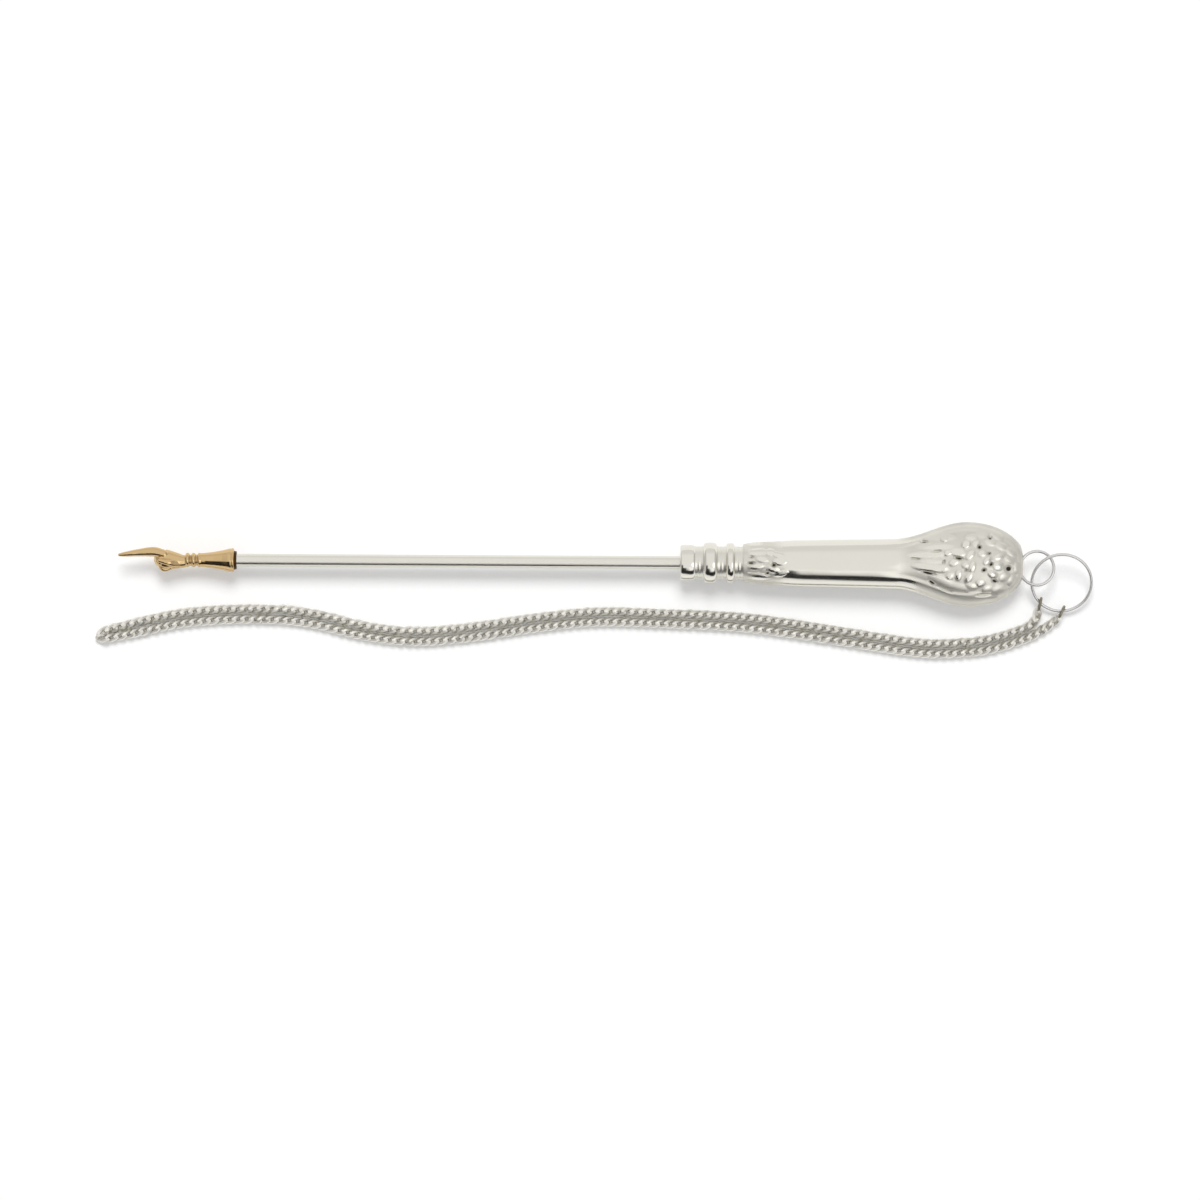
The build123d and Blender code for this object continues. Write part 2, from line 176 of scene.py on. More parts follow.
def lathe_grid(profile: Array, segments: int) -> Array:
    """Profile of x and radius carried round the pointer's axis: (x, r sin t, h + r cos t).

    Args:
        profile: rows of x and radius.
        segments: points round the axis.

    Returns:
        Grid of points, along the profile by round the axis.
    """
    turn = np.linspace(0.0, 2.0 * math.pi, segments, endpoint=False)
    x = np.repeat(profile[:, :1], segments, axis=1)
    y = profile[:, 1:] * np.sin(turn)
    z = AXIS_HEIGHT + profile[:, 1:] * np.cos(turn)
    return np.stack([x, y, z], axis=2)


@dataclass
class Skin:
    """Patches of surface gathered into one mesh, in millimetres, with a value for each point: tarnish and
    painted shade where positive, wear and painted highlight where negative.
    """

    points: list[Array] = field(default_factory=list)
    faces: list[Array] = field(default_factory=list)
    creases: list[Array] = field(default_factory=list)
    count: int = 0

    def add_points(self, points: Array, tarnish_shade_and_wear: Array | None = None) -> int:
        """Adds points and returns the number of the first one.

        Args:
            points: rows of x, y, z.
            tarnish_shade_and_wear: value of each point, 0 where none is given.

        Returns:
            Index of the first added point.
        """
        first = self.count
        self.points.append(points.reshape(-1, 3))
        self.creases.append(np.zeros(len(self.points[-1])) if tarnish_shade_and_wear is None else tarnish_shade_and_wear.ravel())
        self.count += len(self.points[-1])
        return first

    def add_grid(
        self,
        grid: Array,
        wrap_u: bool = False,
        caps: bool = True,
        tarnish_shade_and_wear: Array | None = None,
    ) -> None:
        """Adds quads between neighbours of a grid, whose last column joins the first, and closes its ends.

        Args:
            grid: points, rows by columns.
            wrap_u: True where the last row joins the first.
            caps: True where open end rows are closed by a point in their middle.
            tarnish_shade_and_wear: value of each point of the grid.
        """
        rows, columns = grid.shape[:2]
        first = self.add_points(grid, tarnish_shade_and_wear)
        number = first + np.arange(rows * columns).reshape(rows, columns)
        u = np.arange(rows if wrap_u else rows - 1)
        a, b = np.meshgrid(u, np.arange(columns), indexing="ij")
        a_next, b_next = (a + 1) % rows, (b + 1) % columns
        quads = np.stack([number[a, b], number[a_next, b], number[a_next, b_next], number[a, b_next]], axis=2)
        self.faces.append(quads.reshape(-1, 4))
        if caps and not wrap_u:
            for row in (0, rows - 1):
                pole = self.add_points(grid[row].mean(axis=0)[None, :])
                ring = number[row]
                self.faces.append(np.stack([ring, np.roll(ring, -1), np.full(columns, pole)], axis=1))

    def add_ends(self, grid: Array, first: int) -> None:
        """Closes the first and last row of a wrapped grid with one polygon each.

        Args:
            grid: the grid that was added.
            first: index of its first point.
        """
        rows, columns = grid.shape[:2]
        for row in (0, rows - 1):
            self.faces.append((first + row * columns + np.arange(columns))[None, :])

    def mesh(self, name: str, scale: float = MM) -> bpy.types.Mesh:
        """Makes a mesh with outward faces and smooth shading.

        Args:
            name: name of the mesh.
            scale: metres in one unit of the points.

        Returns:
            The mesh, with a point attribute named tarnish_shade_and_wear.
        """
        made = bpy.data.meshes.new(name)
        polygons = [face for block in self.faces for face in block.tolist()]
        made.from_pydata((np.vstack(self.points) * scale).tolist(), [], polygons)
        edit = bmesh.new()
        edit.from_mesh(made)
        bmesh.ops.recalc_face_normals(edit, faces=edit.faces)
        edit.to_mesh(made)
        edit.free()
        mark = made.attributes.new("tarnish_shade_and_wear", "FLOAT", "POINT")
        mark.data.foreach_set("value", np.concatenate(self.creases).astype(np.float32))
        made.polygons.foreach_set("use_smooth", np.ones(len(made.polygons), dtype=bool))
        made.set_sharp_from_angle(angle=math.radians(SHARP_DEGREES))
        made.update()
        return made


def piece(
    skin: Skin,
    name: str,
    material: bpy.types.Material,
    nodes: tuple[str, ...],
    body: Body | None,
) -> bpy.types.Object:
    """Makes an object of a skin, gives it its finish and sets it on its body.

    Args:
        skin: the surface.
        name: name of the piece.
        material: its finish.
        nodes: solids that the piece stands for.
        body: body that it rides on, or None to leave it on no body.

    Returns:
        The object, at the origin.
    """
    made = bpy.data.objects.new(name, skin.mesh(name))
    bpy.context.scene.collection.objects.link(made)
    made.data.materials.append(material)
    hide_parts(*nodes)
    if body is not None:
        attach(made, body.value)
    LOG.info("%s: %d faces, stands for %s", name, len(made.data.polygons), ", ".join(nodes))
    return made


class Value:
    """A shader number that takes part in Python arithmetic, each operation one Math node."""

    def __init__(self, shader: "Shader", socket: bpy.types.NodeSocket) -> None:
        """Keeps the shader and the output socket that holds the number."""
        self.shader = shader
        self.socket = socket

    def _with(self, operation: str, *others: "Value | float") -> "Value":
        """Math node of the operation on this value and the others."""
        return self.shader.math(operation, self, *others)

    def __add__(self, other: "Value | float") -> "Value":
        """Sum."""
        return self._with("ADD", other)

    def __radd__(self, other: float) -> "Value":
        """Sum with a number in front."""
        return self.shader.math("ADD", other, self)

    def __sub__(self, other: "Value | float") -> "Value":
        """Difference."""
        return self._with("SUBTRACT", other)

    def __rsub__(self, other: float) -> "Value":
        """Difference from a number."""
        return self.shader.math("SUBTRACT", other, self)

    def __mul__(self, other: "Value | float") -> "Value":
        """Product."""
        return self._with("MULTIPLY", other)

    def __rmul__(self, other: float) -> "Value":
        """Product with a number in front."""
        return self.shader.math("MULTIPLY", other, self)

    def __truediv__(self, other: "Value | float") -> "Value":
        """Quotient."""
        return self._with("DIVIDE", other)

    def most(self, other: "Value | float") -> "Value":
        """The larger of two values."""
        return self._with("MAXIMUM", other)

    def least(self, other: "Value | float") -> "Value":
        """The smaller of two values."""
        return self._with("MINIMUM", other)

    def step(self, low: float, high: float) -> "Value":
        """Smooth step from 0 at low to 1 at high.

        Args:
            low: value where the step is 0.
            high: value where the step is 1.

        Returns:
            The stepped value.
        """
        node = self.shader.node(
            "ShaderNodeMapRange",
            {"interpolation_type": "SMOOTHSTEP"},
            {"Value": self, "From Min": low, "From Max": high, "To Min": 0.0, "To Max": 1.0},
        )
        return Value(self.shader, node.outputs["Result"])


class Shader:
    """Adds nodes to a tree and links them by name."""

    def __init__(self, tree: bpy.types.NodeTree) -> None:
        """Takes a node tree and empties it."""
        self.tree = tree
        tree.nodes.clear()

    def node(self, kind: str, settings: dict | None = None, inputs: dict | None = None) -> bpy.types.Node:
        """Adds any node.

        Args:
            kind: the node's type.
            settings: properties set before its sockets, such as an operation.
            inputs: values, sockets or Values by socket name or number.

        Returns:
            The node.
        """
        made = self.tree.nodes.new(kind)
        for key, value in (settings or {}).items():
            setattr(made, key, value)
        for key, value in (inputs or {}).items():
            self.feed(made.inputs[key], value)
        return made

    def feed(self, socket: bpy.types.NodeSocket, value: object) -> None:
        """Links a socket or a Value to an input, or sets the input to a number or colour.

        Args:
            socket: the input.
            value: what it gets.
        """
        if isinstance(value, Value):
            value = value.socket
        if isinstance(value, bpy.types.NodeSocket):
            self.tree.links.new(value, socket)
        else:
            socket.default_value = value

    def math(self, operation: str, *values: "Value | float") -> Value:
        """Math node on one to three values.

        Args:
            operation: the node's operation.
            values: its inputs in order.

        Returns:
            The result.
        """
        made = self.node("ShaderNodeMath", {"operation": operation}, dict(enumerate(values)))
        return Value(self, made.outputs[0])

    def attribute(self, name: str) -> Value:
        """Number of a point attribute."""
        made = self.node("ShaderNodeAttribute", {"attribute_name": name})
        return Value(self, made.outputs["Fac"])

    def place(self, scale: tuple[float, float, float]) -> bpy.types.NodeSocket:
        """Object coordinates multiplied by a scale for each axis.

        Args:
            scale: factors along x, y and z.

        Returns:
            Socket of the coordinates.
        """
        where = self.node("ShaderNodeTexCoord").outputs["Object"]
        made = self.node("ShaderNodeMapping", None, {"Vector": where, "Scale": scale})
        return made.outputs["Vector"]

    def noise(self, scale: tuple[float, float, float], detail: float, roughness: float = 0.5) -> Value:
        """Noise over the object, with a scale for each axis in cycles per metre.

        Args:
            scale: cycles per metre along x, y and z.
            detail: octaves.
            roughness: strength of each finer octave.

        Returns:
            Noise around 0.5.
        """
        made = self.node(
            "ShaderNodeTexNoise",
            None,
            {"Vector": self.place(scale), "Scale": 1.0, "Detail": detail, "Roughness": roughness},
        )
        return Value(self, made.outputs[0])

    def blend(self, share: Value, first: object, second: object) -> bpy.types.NodeSocket:
        """Colour between two colours.

        Args:
            share: 0 for the first, 1 for the second.
            first: colour or socket.
            second: colour or socket.

        Returns:
            The mixed colour.
        """
        made = self.node("ShaderNodeMix", {"data_type": "RGBA"})
        for socket, value in ((made.inputs[0], share), (made.inputs[6], first), (made.inputs[7], second)):
            self.feed(socket, value if not isinstance(value, tuple) else (*value, 1.0))
        return made.outputs[2]


@dataclass(frozen=True)
class MetalFinish:
    """Polished metal with polishing lines, faint clouds, darkening for tarnish in recesses and for painted
    shade, and lightening for worn edges and painted highlight.

    Attributes:
        name: name of the material.
        colour: reflection colour of the clean metal.
        tarnish_and_shade_colour: colour of tarnish that gathers in creases, and of painted shade.
        wear_and_highlight_colour: colour of rubbed high places, which also serves as painted highlight.
        roughness: roughness of the clean metal.
        lines: cycles per metre of the polishing lines along x, y and z.
        line_bump: strength of the lines in the bump.
        pit_scale: cycles per metre of the fine pits.
        darkening_gain: how fast the tarnish and painted shade darken.
        matt: roughness that slight tarnish and shade values add.
        matt_full: value of tarnish_shade_and_wear at which all of it is added.
        cloud_scale: cycles per metre of the faint clouds.
        cloud_shade: brightness of the colour where the clouds are thick.
        line_rough: roughness that the lines add and take away.
        cloud_rough: roughness that the clouds add and take away.
        darkening_rough: roughness that the darkened places add.
        bump_depth: height of the bump in metres.
    """

    name: str
    colour: Colour
    tarnish_and_shade_colour: Colour
    wear_and_highlight_colour: Colour
    roughness: float
    lines: tuple[float, float, float]
    line_bump: float = 0.1
    pit_scale: float = 3200.0
    darkening_gain: float = 1.0
    matt: float = 0.0
    matt_full: float = 0.24
    cloud_scale: float = 160.0
    cloud_shade: float = 0.93
    line_rough: float = 0.14
    cloud_rough: float = 0.08
    darkening_rough: float = 0.3
    bump_depth: float = 0.00004

    def material(self) -> bpy.types.Material:
        """Builds the node material.

        Returns:
            The material.
        """
        made = bpy.data.materials.new(self.name)
        made.use_nodes = True
        shader = Shader(made.node_tree)
        tarnish_shade_and_wear = shader.attribute("tarnish_shade_and_wear")
        clouds = shader.noise((self.cloud_scale,) * 3, 3.0)
        lines = shader.noise(self.lines, 2.0, 0.6)
        pits = shader.noise((self.pit_scale,) * 3, 2.0)
        # Darkening: tarnish in creases and hollows, and painted shade under the chain links, along the
        # handle's far rim and on the hand's collar.
        dark = (tarnish_shade_and_wear * self.darkening_gain * (0.6 + 0.8 * clouds)).step(0.12, 0.95)
        # Lightening: wear on high places, which on the hand's ridges and the chain links' tops is also
        # painted highlight.
        wear_and_highlight = (0.0 - tarnish_shade_and_wear).step(0.1, 0.8)
        shaded = tuple(self.cloud_shade * c for c in self.colour)
        tone = shader.blend((clouds - 0.35) * 0.5, self.colour, shaded)
        tone = shader.blend(wear_and_highlight * 0.6, tone, self.wear_and_highlight_colour)
        tone = shader.blend(dark, tone, self.tarnish_and_shade_colour)
        rough = self.roughness + (lines - 0.5) * self.line_rough + (clouds - 0.5) * self.cloud_rough
        rough = rough + dark * self.darkening_rough
        rough = rough + tarnish_shade_and_wear.step(0.0, self.matt_full) * self.matt
        height = lines * 0.6 + pits * 0.4
        bump = shader.node(
            "ShaderNodeBump",
            None,
            {"Strength": self.line_bump, "Distance": self.bump_depth, "Height": height},
        )
        surface = shader.node(
            "ShaderNodeBsdfPrincipled",
            None,
            {
                "Base Color": tone,
                "Metallic": 1.0,
                "Roughness": rough.most(0.05),
                "Normal": bump.outputs["Normal"],
            },
        )
        shader.node("ShaderNodeOutputMaterial", None, {"Surface": surface.outputs["BSDF"]})
        return made


@dataclass(frozen=True)
class CementFinish:
    """Set filling compound: brown, dull and grainy.

    Attributes:
        name: name of the material.
        colour: main colour.
        fleck: colour of the grains.
    """

    name: str = "filling_cement"
    colour: Colour = (0.32, 0.25, 0.18)
    fleck: Colour = (0.18, 0.13, 0.09)

    def material(self) -> bpy.types.Material:
        """Builds the node material.

        Returns:
            The material.
        """
        made = bpy.data.materials.new(self.name)
        made.use_nodes = True
        shader = Shader(made.node_tree)
        grains = shader.noise((2400.0,) * 3, 4.0)
        clouds = shader.noise((300.0,) * 3, 3.0)
        tone = shader.blend(grains.step(0.4, 0.7), self.colour, self.fleck)
        bump = shader.node("ShaderNodeBump", None, {"Strength": 0.5, "Distance": 0.0001, "Height": grains})
        surface = shader.node(
            "ShaderNodeBsdfPrincipled",
            None,
            {"Base Color": tone, "Roughness": 0.7 + clouds * 0.25, "Normal": bump.outputs["Normal"]},
        )
        shader.node("ShaderNodeOutputMaterial", None, {"Surface": surface.outputs["BSDF"]})
        return made


@dataclass
class CurbChain:
    """Doubled curb chain on the table, from one end link out to the fold and back to the other."""

    route: tuple[tuple[float, float], ...] = (
        (101.6, -14.3),
        (96.4, -16.3),
        (91.0, -18.0),
        (84.6, -18.8),
        (76.2, -19.1),
        (64.6, -17.4),
        (50.6, -15.2),
        (35.0, -13.1),
        (17.0, -12.5),
        (2.0, -12.0),
        (-12.0, -13.7),
        (-25.0, -15.8),
        (-38.0, -17.2),
        (-50.0, -15.9),
        (-63.0, -12.3),
        (-78.0, -11.9),
        (-91.0, -12.9),
        (-101.0, -15.2),
        (-108.4, -17.0),
    )
    left_end: tuple[float, float, float] = (101.6, -10.45, 1.5)
    right_end: tuple[float, float, float] = (106.06, -12.07, 1.22)
    strand_step: float = 1.14
    fold_reach: float = 0.6
    fold_side: float = 0.4
    fold_draw: float = 0.75
    height: float = 1.06
    width: float = 2.2
    wire: float = 0.45
    pitch: float = 1.917
    link_reach: float = 1.4
    link_side: float = 0.61
    link_slant: float = 10.0
    link_twist: float = -0.62
    link_flat: float = 0.94
    link_points: int = 12
    wire_points: int = 6
    clear: float = 0.04
    roll: float = 6.0
    seed: int = 11
    look_ahead: float = 0.4
    line_steps: int = 24
    blend_reach: float = 0.7

    def control_points(self) -> Array:
        """Points that steer the chain's line: upper strand, round the fold, lower strand.

        Each strand is the route moved half a strand square to the line between its neighbours, and the
        two draw together at the fold.

        Returns:
            Rows of x, y, z in millimetres.
        """
        route = np.array(self.route)
        padded = np.vstack([route[0], route, route[-1]])
        run = unit(padded[2:] - padded[:-2])
        side = np.stack([run[:, 1], -run[:, 0]], axis=1) * self.strand_step
        side[-1] = side[-1] * self.fold_draw
        upper, lower = route + side, route - side
        tip = route[-1] + run[-1] * self.fold_reach
        fold = np.stack([tip + side[-1] * self.fold_side, tip - side[-1] * self.fold_side])
        plan = np.vstack([upper, fold, lower[::-1]])
        level = np.hstack([plan, np.full((len(plan), 1), self.height)])
        return np.vstack([self.left_end, level, self.right_end])

    def line(self) -> Array:
        """Smooth line of the chain, read from a NURBS spline that has the control points.

        Returns:
            Rows of x, y, z in millimetres, close together.
        """
        points = self.control_points()
        curve = bpy.data.curves.new("chain_line", "CURVE")
        curve.dimensions = "3D"
        curve.resolution_u = self.line_steps
        spline = curve.splines.new("NURBS")
        spline.points.add(len(points) - 1)
        spline.points.foreach_set("co", np.hstack([points, np.ones((len(points), 1))]).ravel())
        spline.order_u = 3
        spline.use_endpoint_u = True
        holder = bpy.data.objects.new("chain_line", curve)
        bpy.context.scene.collection.objects.link(holder)
        bpy.context.view_layer.update()
        drawn = bpy.data.meshes.new_from_object(holder)
        line = np.zeros(len(drawn.vertices) * 3)
        drawn.vertices.foreach_get("co", line)
        bpy.data.objects.remove(holder)
        bpy.data.curves.remove(curve)
        bpy.data.meshes.remove(drawn)
        line = line.reshape(-1, 3)
        return line[np.append(True, np.linalg.norm(np.diff(line, axis=0), axis=1) > 1e-6)]

    def link(self) -> Array:
        """One twisted oval link: (a cos t, b sin t, c sin 2t) laid aslant, in wire rubbed flat on both faces.

        Returns:
            Grid of points round the link by round its wire, in the link's own frame.
        """
        t = np.linspace(0.0, 2.0 * math.pi, self.link_points, endpoint=False)
        slant = math.radians(self.link_slant)
        long, short = self.link_reach * np.cos(t), self.link_side * np.sin(t)
        along = long * math.cos(slant) - short * math.sin(slant)
        across = long * math.sin(slant) + short * math.cos(slant)
        middle = np.stack([along, across, self.link_twist * np.sin(2 * t)], axis=1)
        radii = np.full((self.link_points, 2), self.wire)
        grid = tube_grid(middle, radii, self.wire_points, np.array([0.0, 0.0, 1.0]), closed=True)
        grid[:, :, 2] = np.clip(grid[:, :, 2], -self.link_flat, self.link_flat)
        return grid

    def build(self, material: bpy.types.Material) -> bpy.types.Object:
        """Args:
            material: finish of the links.

        Returns:
            The chain.
        """
        line = self.line()
        gone = np.append(0.0, np.cumsum(np.linalg.norm(np.diff(line, axis=0), axis=1)))
        tip = gone[np.argmin(line[:, 0])]
        first = int(round(tip / self.pitch))
        second = int(round((gone[-1] - tip) / self.pitch))
        count = first + second
        place = np.append(
            (np.arange(first) + 0.5) * tip / first,
            tip + (np.arange(second) + 0.5) * (gone[-1] - tip) / second,
        )

        def at(where: Array) -> Array:
            """Points of the line at distances along it."""
            return np.stack([np.interp(where, gone, line[:, k]) for k in range(3)], axis=1)

        way = unit(at(place + self.look_ahead) - at(place - self.look_ahead))
        rolls = np.radians(np.random.default_rng(self.seed).normal(0.0, self.roll, count))
        flat_side = unit(np.cross(np.array([0.0, 0.0, 1.0]), way))
        flat_up = np.cross(way, flat_side)
        up = flat_up * np.cos(rolls)[:, None] + flat_side * np.sin(rolls)[:, None]
        side = np.cross(up, way)
        axes = np.stack([way, side, up], axis=1)
        link = self.link()
        grids = at(place)[:, None, None, :] + np.einsum("uvk,nkj->nuvj", link, axes)
        grids[..., 2] = np.maximum(grids[..., 2], self.clear)
        # Painted shade darkens the lower half of each link; its top is lightened as wear on the flat and as
        # painted highlight.
        tarnish_shade_and_wear = np.clip(0.12 - 0.5 * link[:, :, 2], -0.35, 0.6)
        skin = Skin()
        for grid in grids:
            skin.add_grid(grid, wrap_u=True, tarnish_shade_and_wear=tarnish_shade_and_wear)
        nodes = (
            "chain_strand_upper",
            "chain_strand_lower",
            "chain_fold",
            "chain_lead_left",
            "chain_lead_right",
        )
        made = piece(skin, "curb_chain", material, nodes, None)
        hinge, onward = np.array(self.route[0]), np.array(self.route[1])
        pivot = np.append(hinge, self.height) * MM
        reach = unit(np.append(onward - hinge, 0.0)) * self.blend_reach * MM
        start, end = tuple(pivot - reach), tuple(pivot + reach)
        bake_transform(made)
        return made


@dataclass
class WireRings:
    """The terminal ring, the chain ring and the two end links, each bent from round wire."""

    terminal_radius: float = 3.8
    chain_radius: float = 6.7
    wire: float = 0.36
    link_wire: float = 0.3
    link_bend: float = 0.975
    link_straight: float = 0.85
    cut: float = 0.05
    terminal_cut_at: float = 178.0
    chain_cut_at: float = 35.0
    steps: int = 160
    sides: int = 20
    link_sides: int = 14

    def axes(self, node: str) -> tuple[Array, Array]:
        """Middle and main directions of a solid, longest first.

        Args:
            node: name of the solid.

        Returns:
            The middle in millimetres, and three unit rows.
        """
        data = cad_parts[node].data
        points = np.zeros(len(data.vertices) * 3)
        data.vertices.foreach_get("co", points)
        points = points.reshape(-1, 3) / MM
        rows = np.linalg.svd(points - points.mean(axis=0), full_matrices=False)[2]
        spread = points @ rows.T
        return (0.5 * (spread.min(axis=0) + spread.max(axis=0))) @ rows, rows

    def ring(self, node: str, radius: float, start: float) -> Skin:
        """Open ring of wire whose two ends almost meet: middle + R (e1 cos t + e2 sin t).

        Args:
            node: solid whose place it takes.
            radius: radius of the wire's middle line.
            start: angle of the cut, in degrees from +X seen from above.

        Returns:
            The surface.
        """
        middle, rows = self.axes(node)
        normal = rows[2] * np.sign(rows[2, 2])
        first = unit(np.array([1.0, 0.0, 0.0]) - normal[0] * normal)
        second = np.cross(normal, first)
        gap = self.cut / radius
        turn = math.radians(start) + np.linspace(gap, 2.0 * math.pi - gap, self.steps)
        path = middle + radius * (np.cos(turn)[:, None] * first + np.sin(turn)[:, None] * second)
        skin = Skin()
        skin.add_grid(tube_grid(path, np.full((self.steps, 2), self.wire), self.sides, normal))
        return skin

    def link(self, node: str) -> Skin:
        """Closed oval link: two straights joined by half circles, walked at an even pace.

        Args:
            node: solid whose place it takes.

        Returns:
            The surface.
        """
        middle, rows = self.axes(node)
        half, bend = self.link_straight / 2, self.link_bend
        arc = math.pi * bend
        round_trip = 2 * (self.link_straight + arc)
        s = np.linspace(0.0, round_trip, self.steps // 2, endpoint=False)
        turned = s % (round_trip / 2)
        sign = np.where(s < round_trip / 2, 1.0, -1.0)
        angle = np.maximum(turned - self.link_straight, 0.0) / bend
        x = np.where(turned < self.link_straight, turned - half, half + bend * np.sin(angle)) * sign
        y = np.where(turned < self.link_straight, bend, bend * np.cos(angle)) * sign
        path = middle + x[:, None] * rows[0] + y[:, None] * rows[1]
        skin = Skin()
        radii = np.full((len(s), 2), self.link_wire)
        skin.add_grid(tube_grid(path, radii, self.link_sides, rows[2], closed=True), wrap_u=True)
        return skin

    def build(self, wire: bpy.types.Material, dull: bpy.types.Material) -> None:
        """Makes the two rings and the two end links.

        Args:
            wire: finish of the rings.
            dull: tarnished finish of the links.
        """
        terminal = self.ring("terminal_ring", self.terminal_radius, self.terminal_cut_at)
        piece(terminal, "terminal_wire_ring", wire, ("terminal_ring",), Body.POINTER)
        hanging = self.ring("chain_ring", self.chain_radius, self.chain_cut_at)
        piece(hanging, "chain_wire_ring", wire, ("chain_ring",), Body.RING)
        for side in ("left", "right"):
            node = f"chain_end_link_{side}"
            piece(self.link(node), f"end_link_{side}", dull, (node,), Body.RING)


@dataclass
class PointingHand:
    """Gilt casting: right hand with the index finger out, beads round the wrist and a flared cuff.

    Rows of limbs are x, y, height above the axis, radius across and radius upright.
    """

    voxel: float = 0.075
    smooth_rounds: int = 5
    crease_rounds: int = 26
    crease_gain: float = 9.0
    palm: tuple = (
        (-86.2, 0.0, 0.0, 1.25, 1.25),
        (-88.6, -0.05, 0.0, 1.22, 1.18),
        (-90.4, -0.3, 0.0, 1.46, 1.38),
        (-92.4, -0.15, -0.05, 1.95, 1.7),
        (-94.4, 0.05, -0.1, 2.3, 1.85),
        (-95.1, 0.2, -0.1, 2.0, 1.75),
    )
    index: tuple = (
        (-94.6, 1.25, 0.8, 1.0, 1.0),
        (-96.6, 1.74, 0.9, 1.1, 1.04),
        (-98.2, 1.74, 0.92, 1.04, 0.96),
        (-99.4, 1.64, 0.92, 0.93, 0.88),
        (-100.6, 1.52, 0.9, 0.82, 0.8),
        (-101.9, 1.38, 0.9, 0.71, 0.72),
        (-103.5, 1.18, 0.86, 0.54, 0.56),
        (-104.6, 1.06, 0.84, 0.36, 0.38),
    )
    thumb: tuple = (
        (-91.2, -0.7, 0.55, 0.9, 0.8),
        (-92.6, -0.75, 1.25, 0.88, 0.72),
        (-93.4, -0.6, 1.72, 0.76, 0.64),
        (-94.5, -0.45, 1.92, 0.62, 0.54),
        (-95.7, -0.15, 1.92, 0.46, 0.4),
    )
    curled: tuple = (
        (-94.4, 1.35, 0.0, 0.66, 0.66),
        (-95.3, 1.0, 0.0, 0.66, 0.64),
        (-95.55, 0.1, 0.0, 0.6, 0.58),
        (-95.35, -1.2, 0.0, 0.62, 0.58),
        (-94.9, -1.98, 0.0, 0.62, 0.58),
        (-94.1, -2.06, 0.0, 0.56, 0.54),
        (-93.2, -1.7, 0.0, 0.5, 0.48),
    )
    curled_heights: tuple = ((0.4, 1.0, 0.0), (-0.62, 0.98, 0.12), (-1.5, 0.84, 0.3))
    cuff: tuple = (
        (-86.6, 1.2),
        (-86.3, 1.56),
        (-85.4, 1.62),
        (-83.6, 1.86),
        (-81.6, 2.24),
        (-80.3, 2.56),
        (-79.75, 2.66),
        (-79.62, 2.56),
        (-79.5, 2.7),
        (-79.25, 2.75),
        (-78.98, 2.62),
        (-78.94, 2.1),
        (-78.46, 2.05),
        (-78.39, 1.98),
        (-78.39, 1.2),
    )
    bead_places: tuple = (-86.7, -88.05, -89.4)
    bead_middle: float = 1.12
    bead_round: float = 0.52
    collar_x: float = -79.0
    collar_run: float = 0.1
    limb_rows: int = 60
    limb_sides: int = 40
    finger_sides: int = 28
    cuff_sides: int = 120
    bead_points: int = 24
    bead_sides: int = 96

    def parts(self) -> Skin:
        """Overlapping solids of the hand, its beads and its cuff.

        Returns:
            The surfaces before they are melted together.
        """
        skin = Skin()
        upright = np.array([0.0, 0.0, 1.0])
        base = np.array([0.0, 0.0, AXIS_HEIGHT, 0.0, 0.0])
        for rows in (self.palm, self.index, self.thumb):
            skin.add_grid(limb_grid(np.array(rows) + base, self.limb_rows, self.limb_sides, upright))
        for height, size, back in self.curled_heights:
            rows = np.array(self.curled) + base + np.array([back, 0.0, height, 0.0, 0.0])
            rows[:, 3:] *= size
            rows[:, 1] *= size
            skin.add_grid(limb_grid(rows, self.limb_rows, self.finger_sides, upright))
        skin.add_grid(lathe_grid(np.array(self.cuff), self.cuff_sides))
        turn = np.linspace(0.0, 2.0 * math.pi, self.bead_points, endpoint=False)
        for place in self.bead_places:
            ring = np.stack(
                [place + self.bead_round * np.cos(turn), self.bead_middle + self.bead_round * np.sin(turn)],
                axis=1,
            )
            skin.add_grid(lathe_grid(ring, self.bead_sides), wrap_u=True)
        return skin

    def melted(self) -> tuple[Array, Array]:
        """The parts run together on a fine voxel grid and smoothed, as a casting is.

        Returns:
            Points in millimetres and quads.
        """
        holder = bpy.data.objects.new("hand_parts", self.parts().mesh("hand_parts", 1.0))
        bpy.context.scene.collection.objects.link(holder)
        remesh = holder.modifiers.new("Remesh", "REMESH")
        remesh.mode = "VOXEL"
        remesh.voxel_size = self.voxel
        smooth = holder.modifiers.new("Smooth", "SMOOTH")
        smooth.factor = 0.5
        smooth.iterations = self.smooth_rounds
        graph = bpy.context.evaluated_depsgraph_get()
        made = bpy.data.meshes.new_from_object(holder.evaluated_get(graph))
        points = np.zeros(len(made.vertices) * 3)
        made.vertices.foreach_get("co", points)
        corners = np.zeros(len(made.loops), dtype=np.int32)
        made.loops.foreach_get("vertex_index", corners)
        bpy.data.objects.remove(holder)
        bpy.data.meshes.remove(made)
        return points.reshape(-1, 3), corners.reshape(-1, 4)

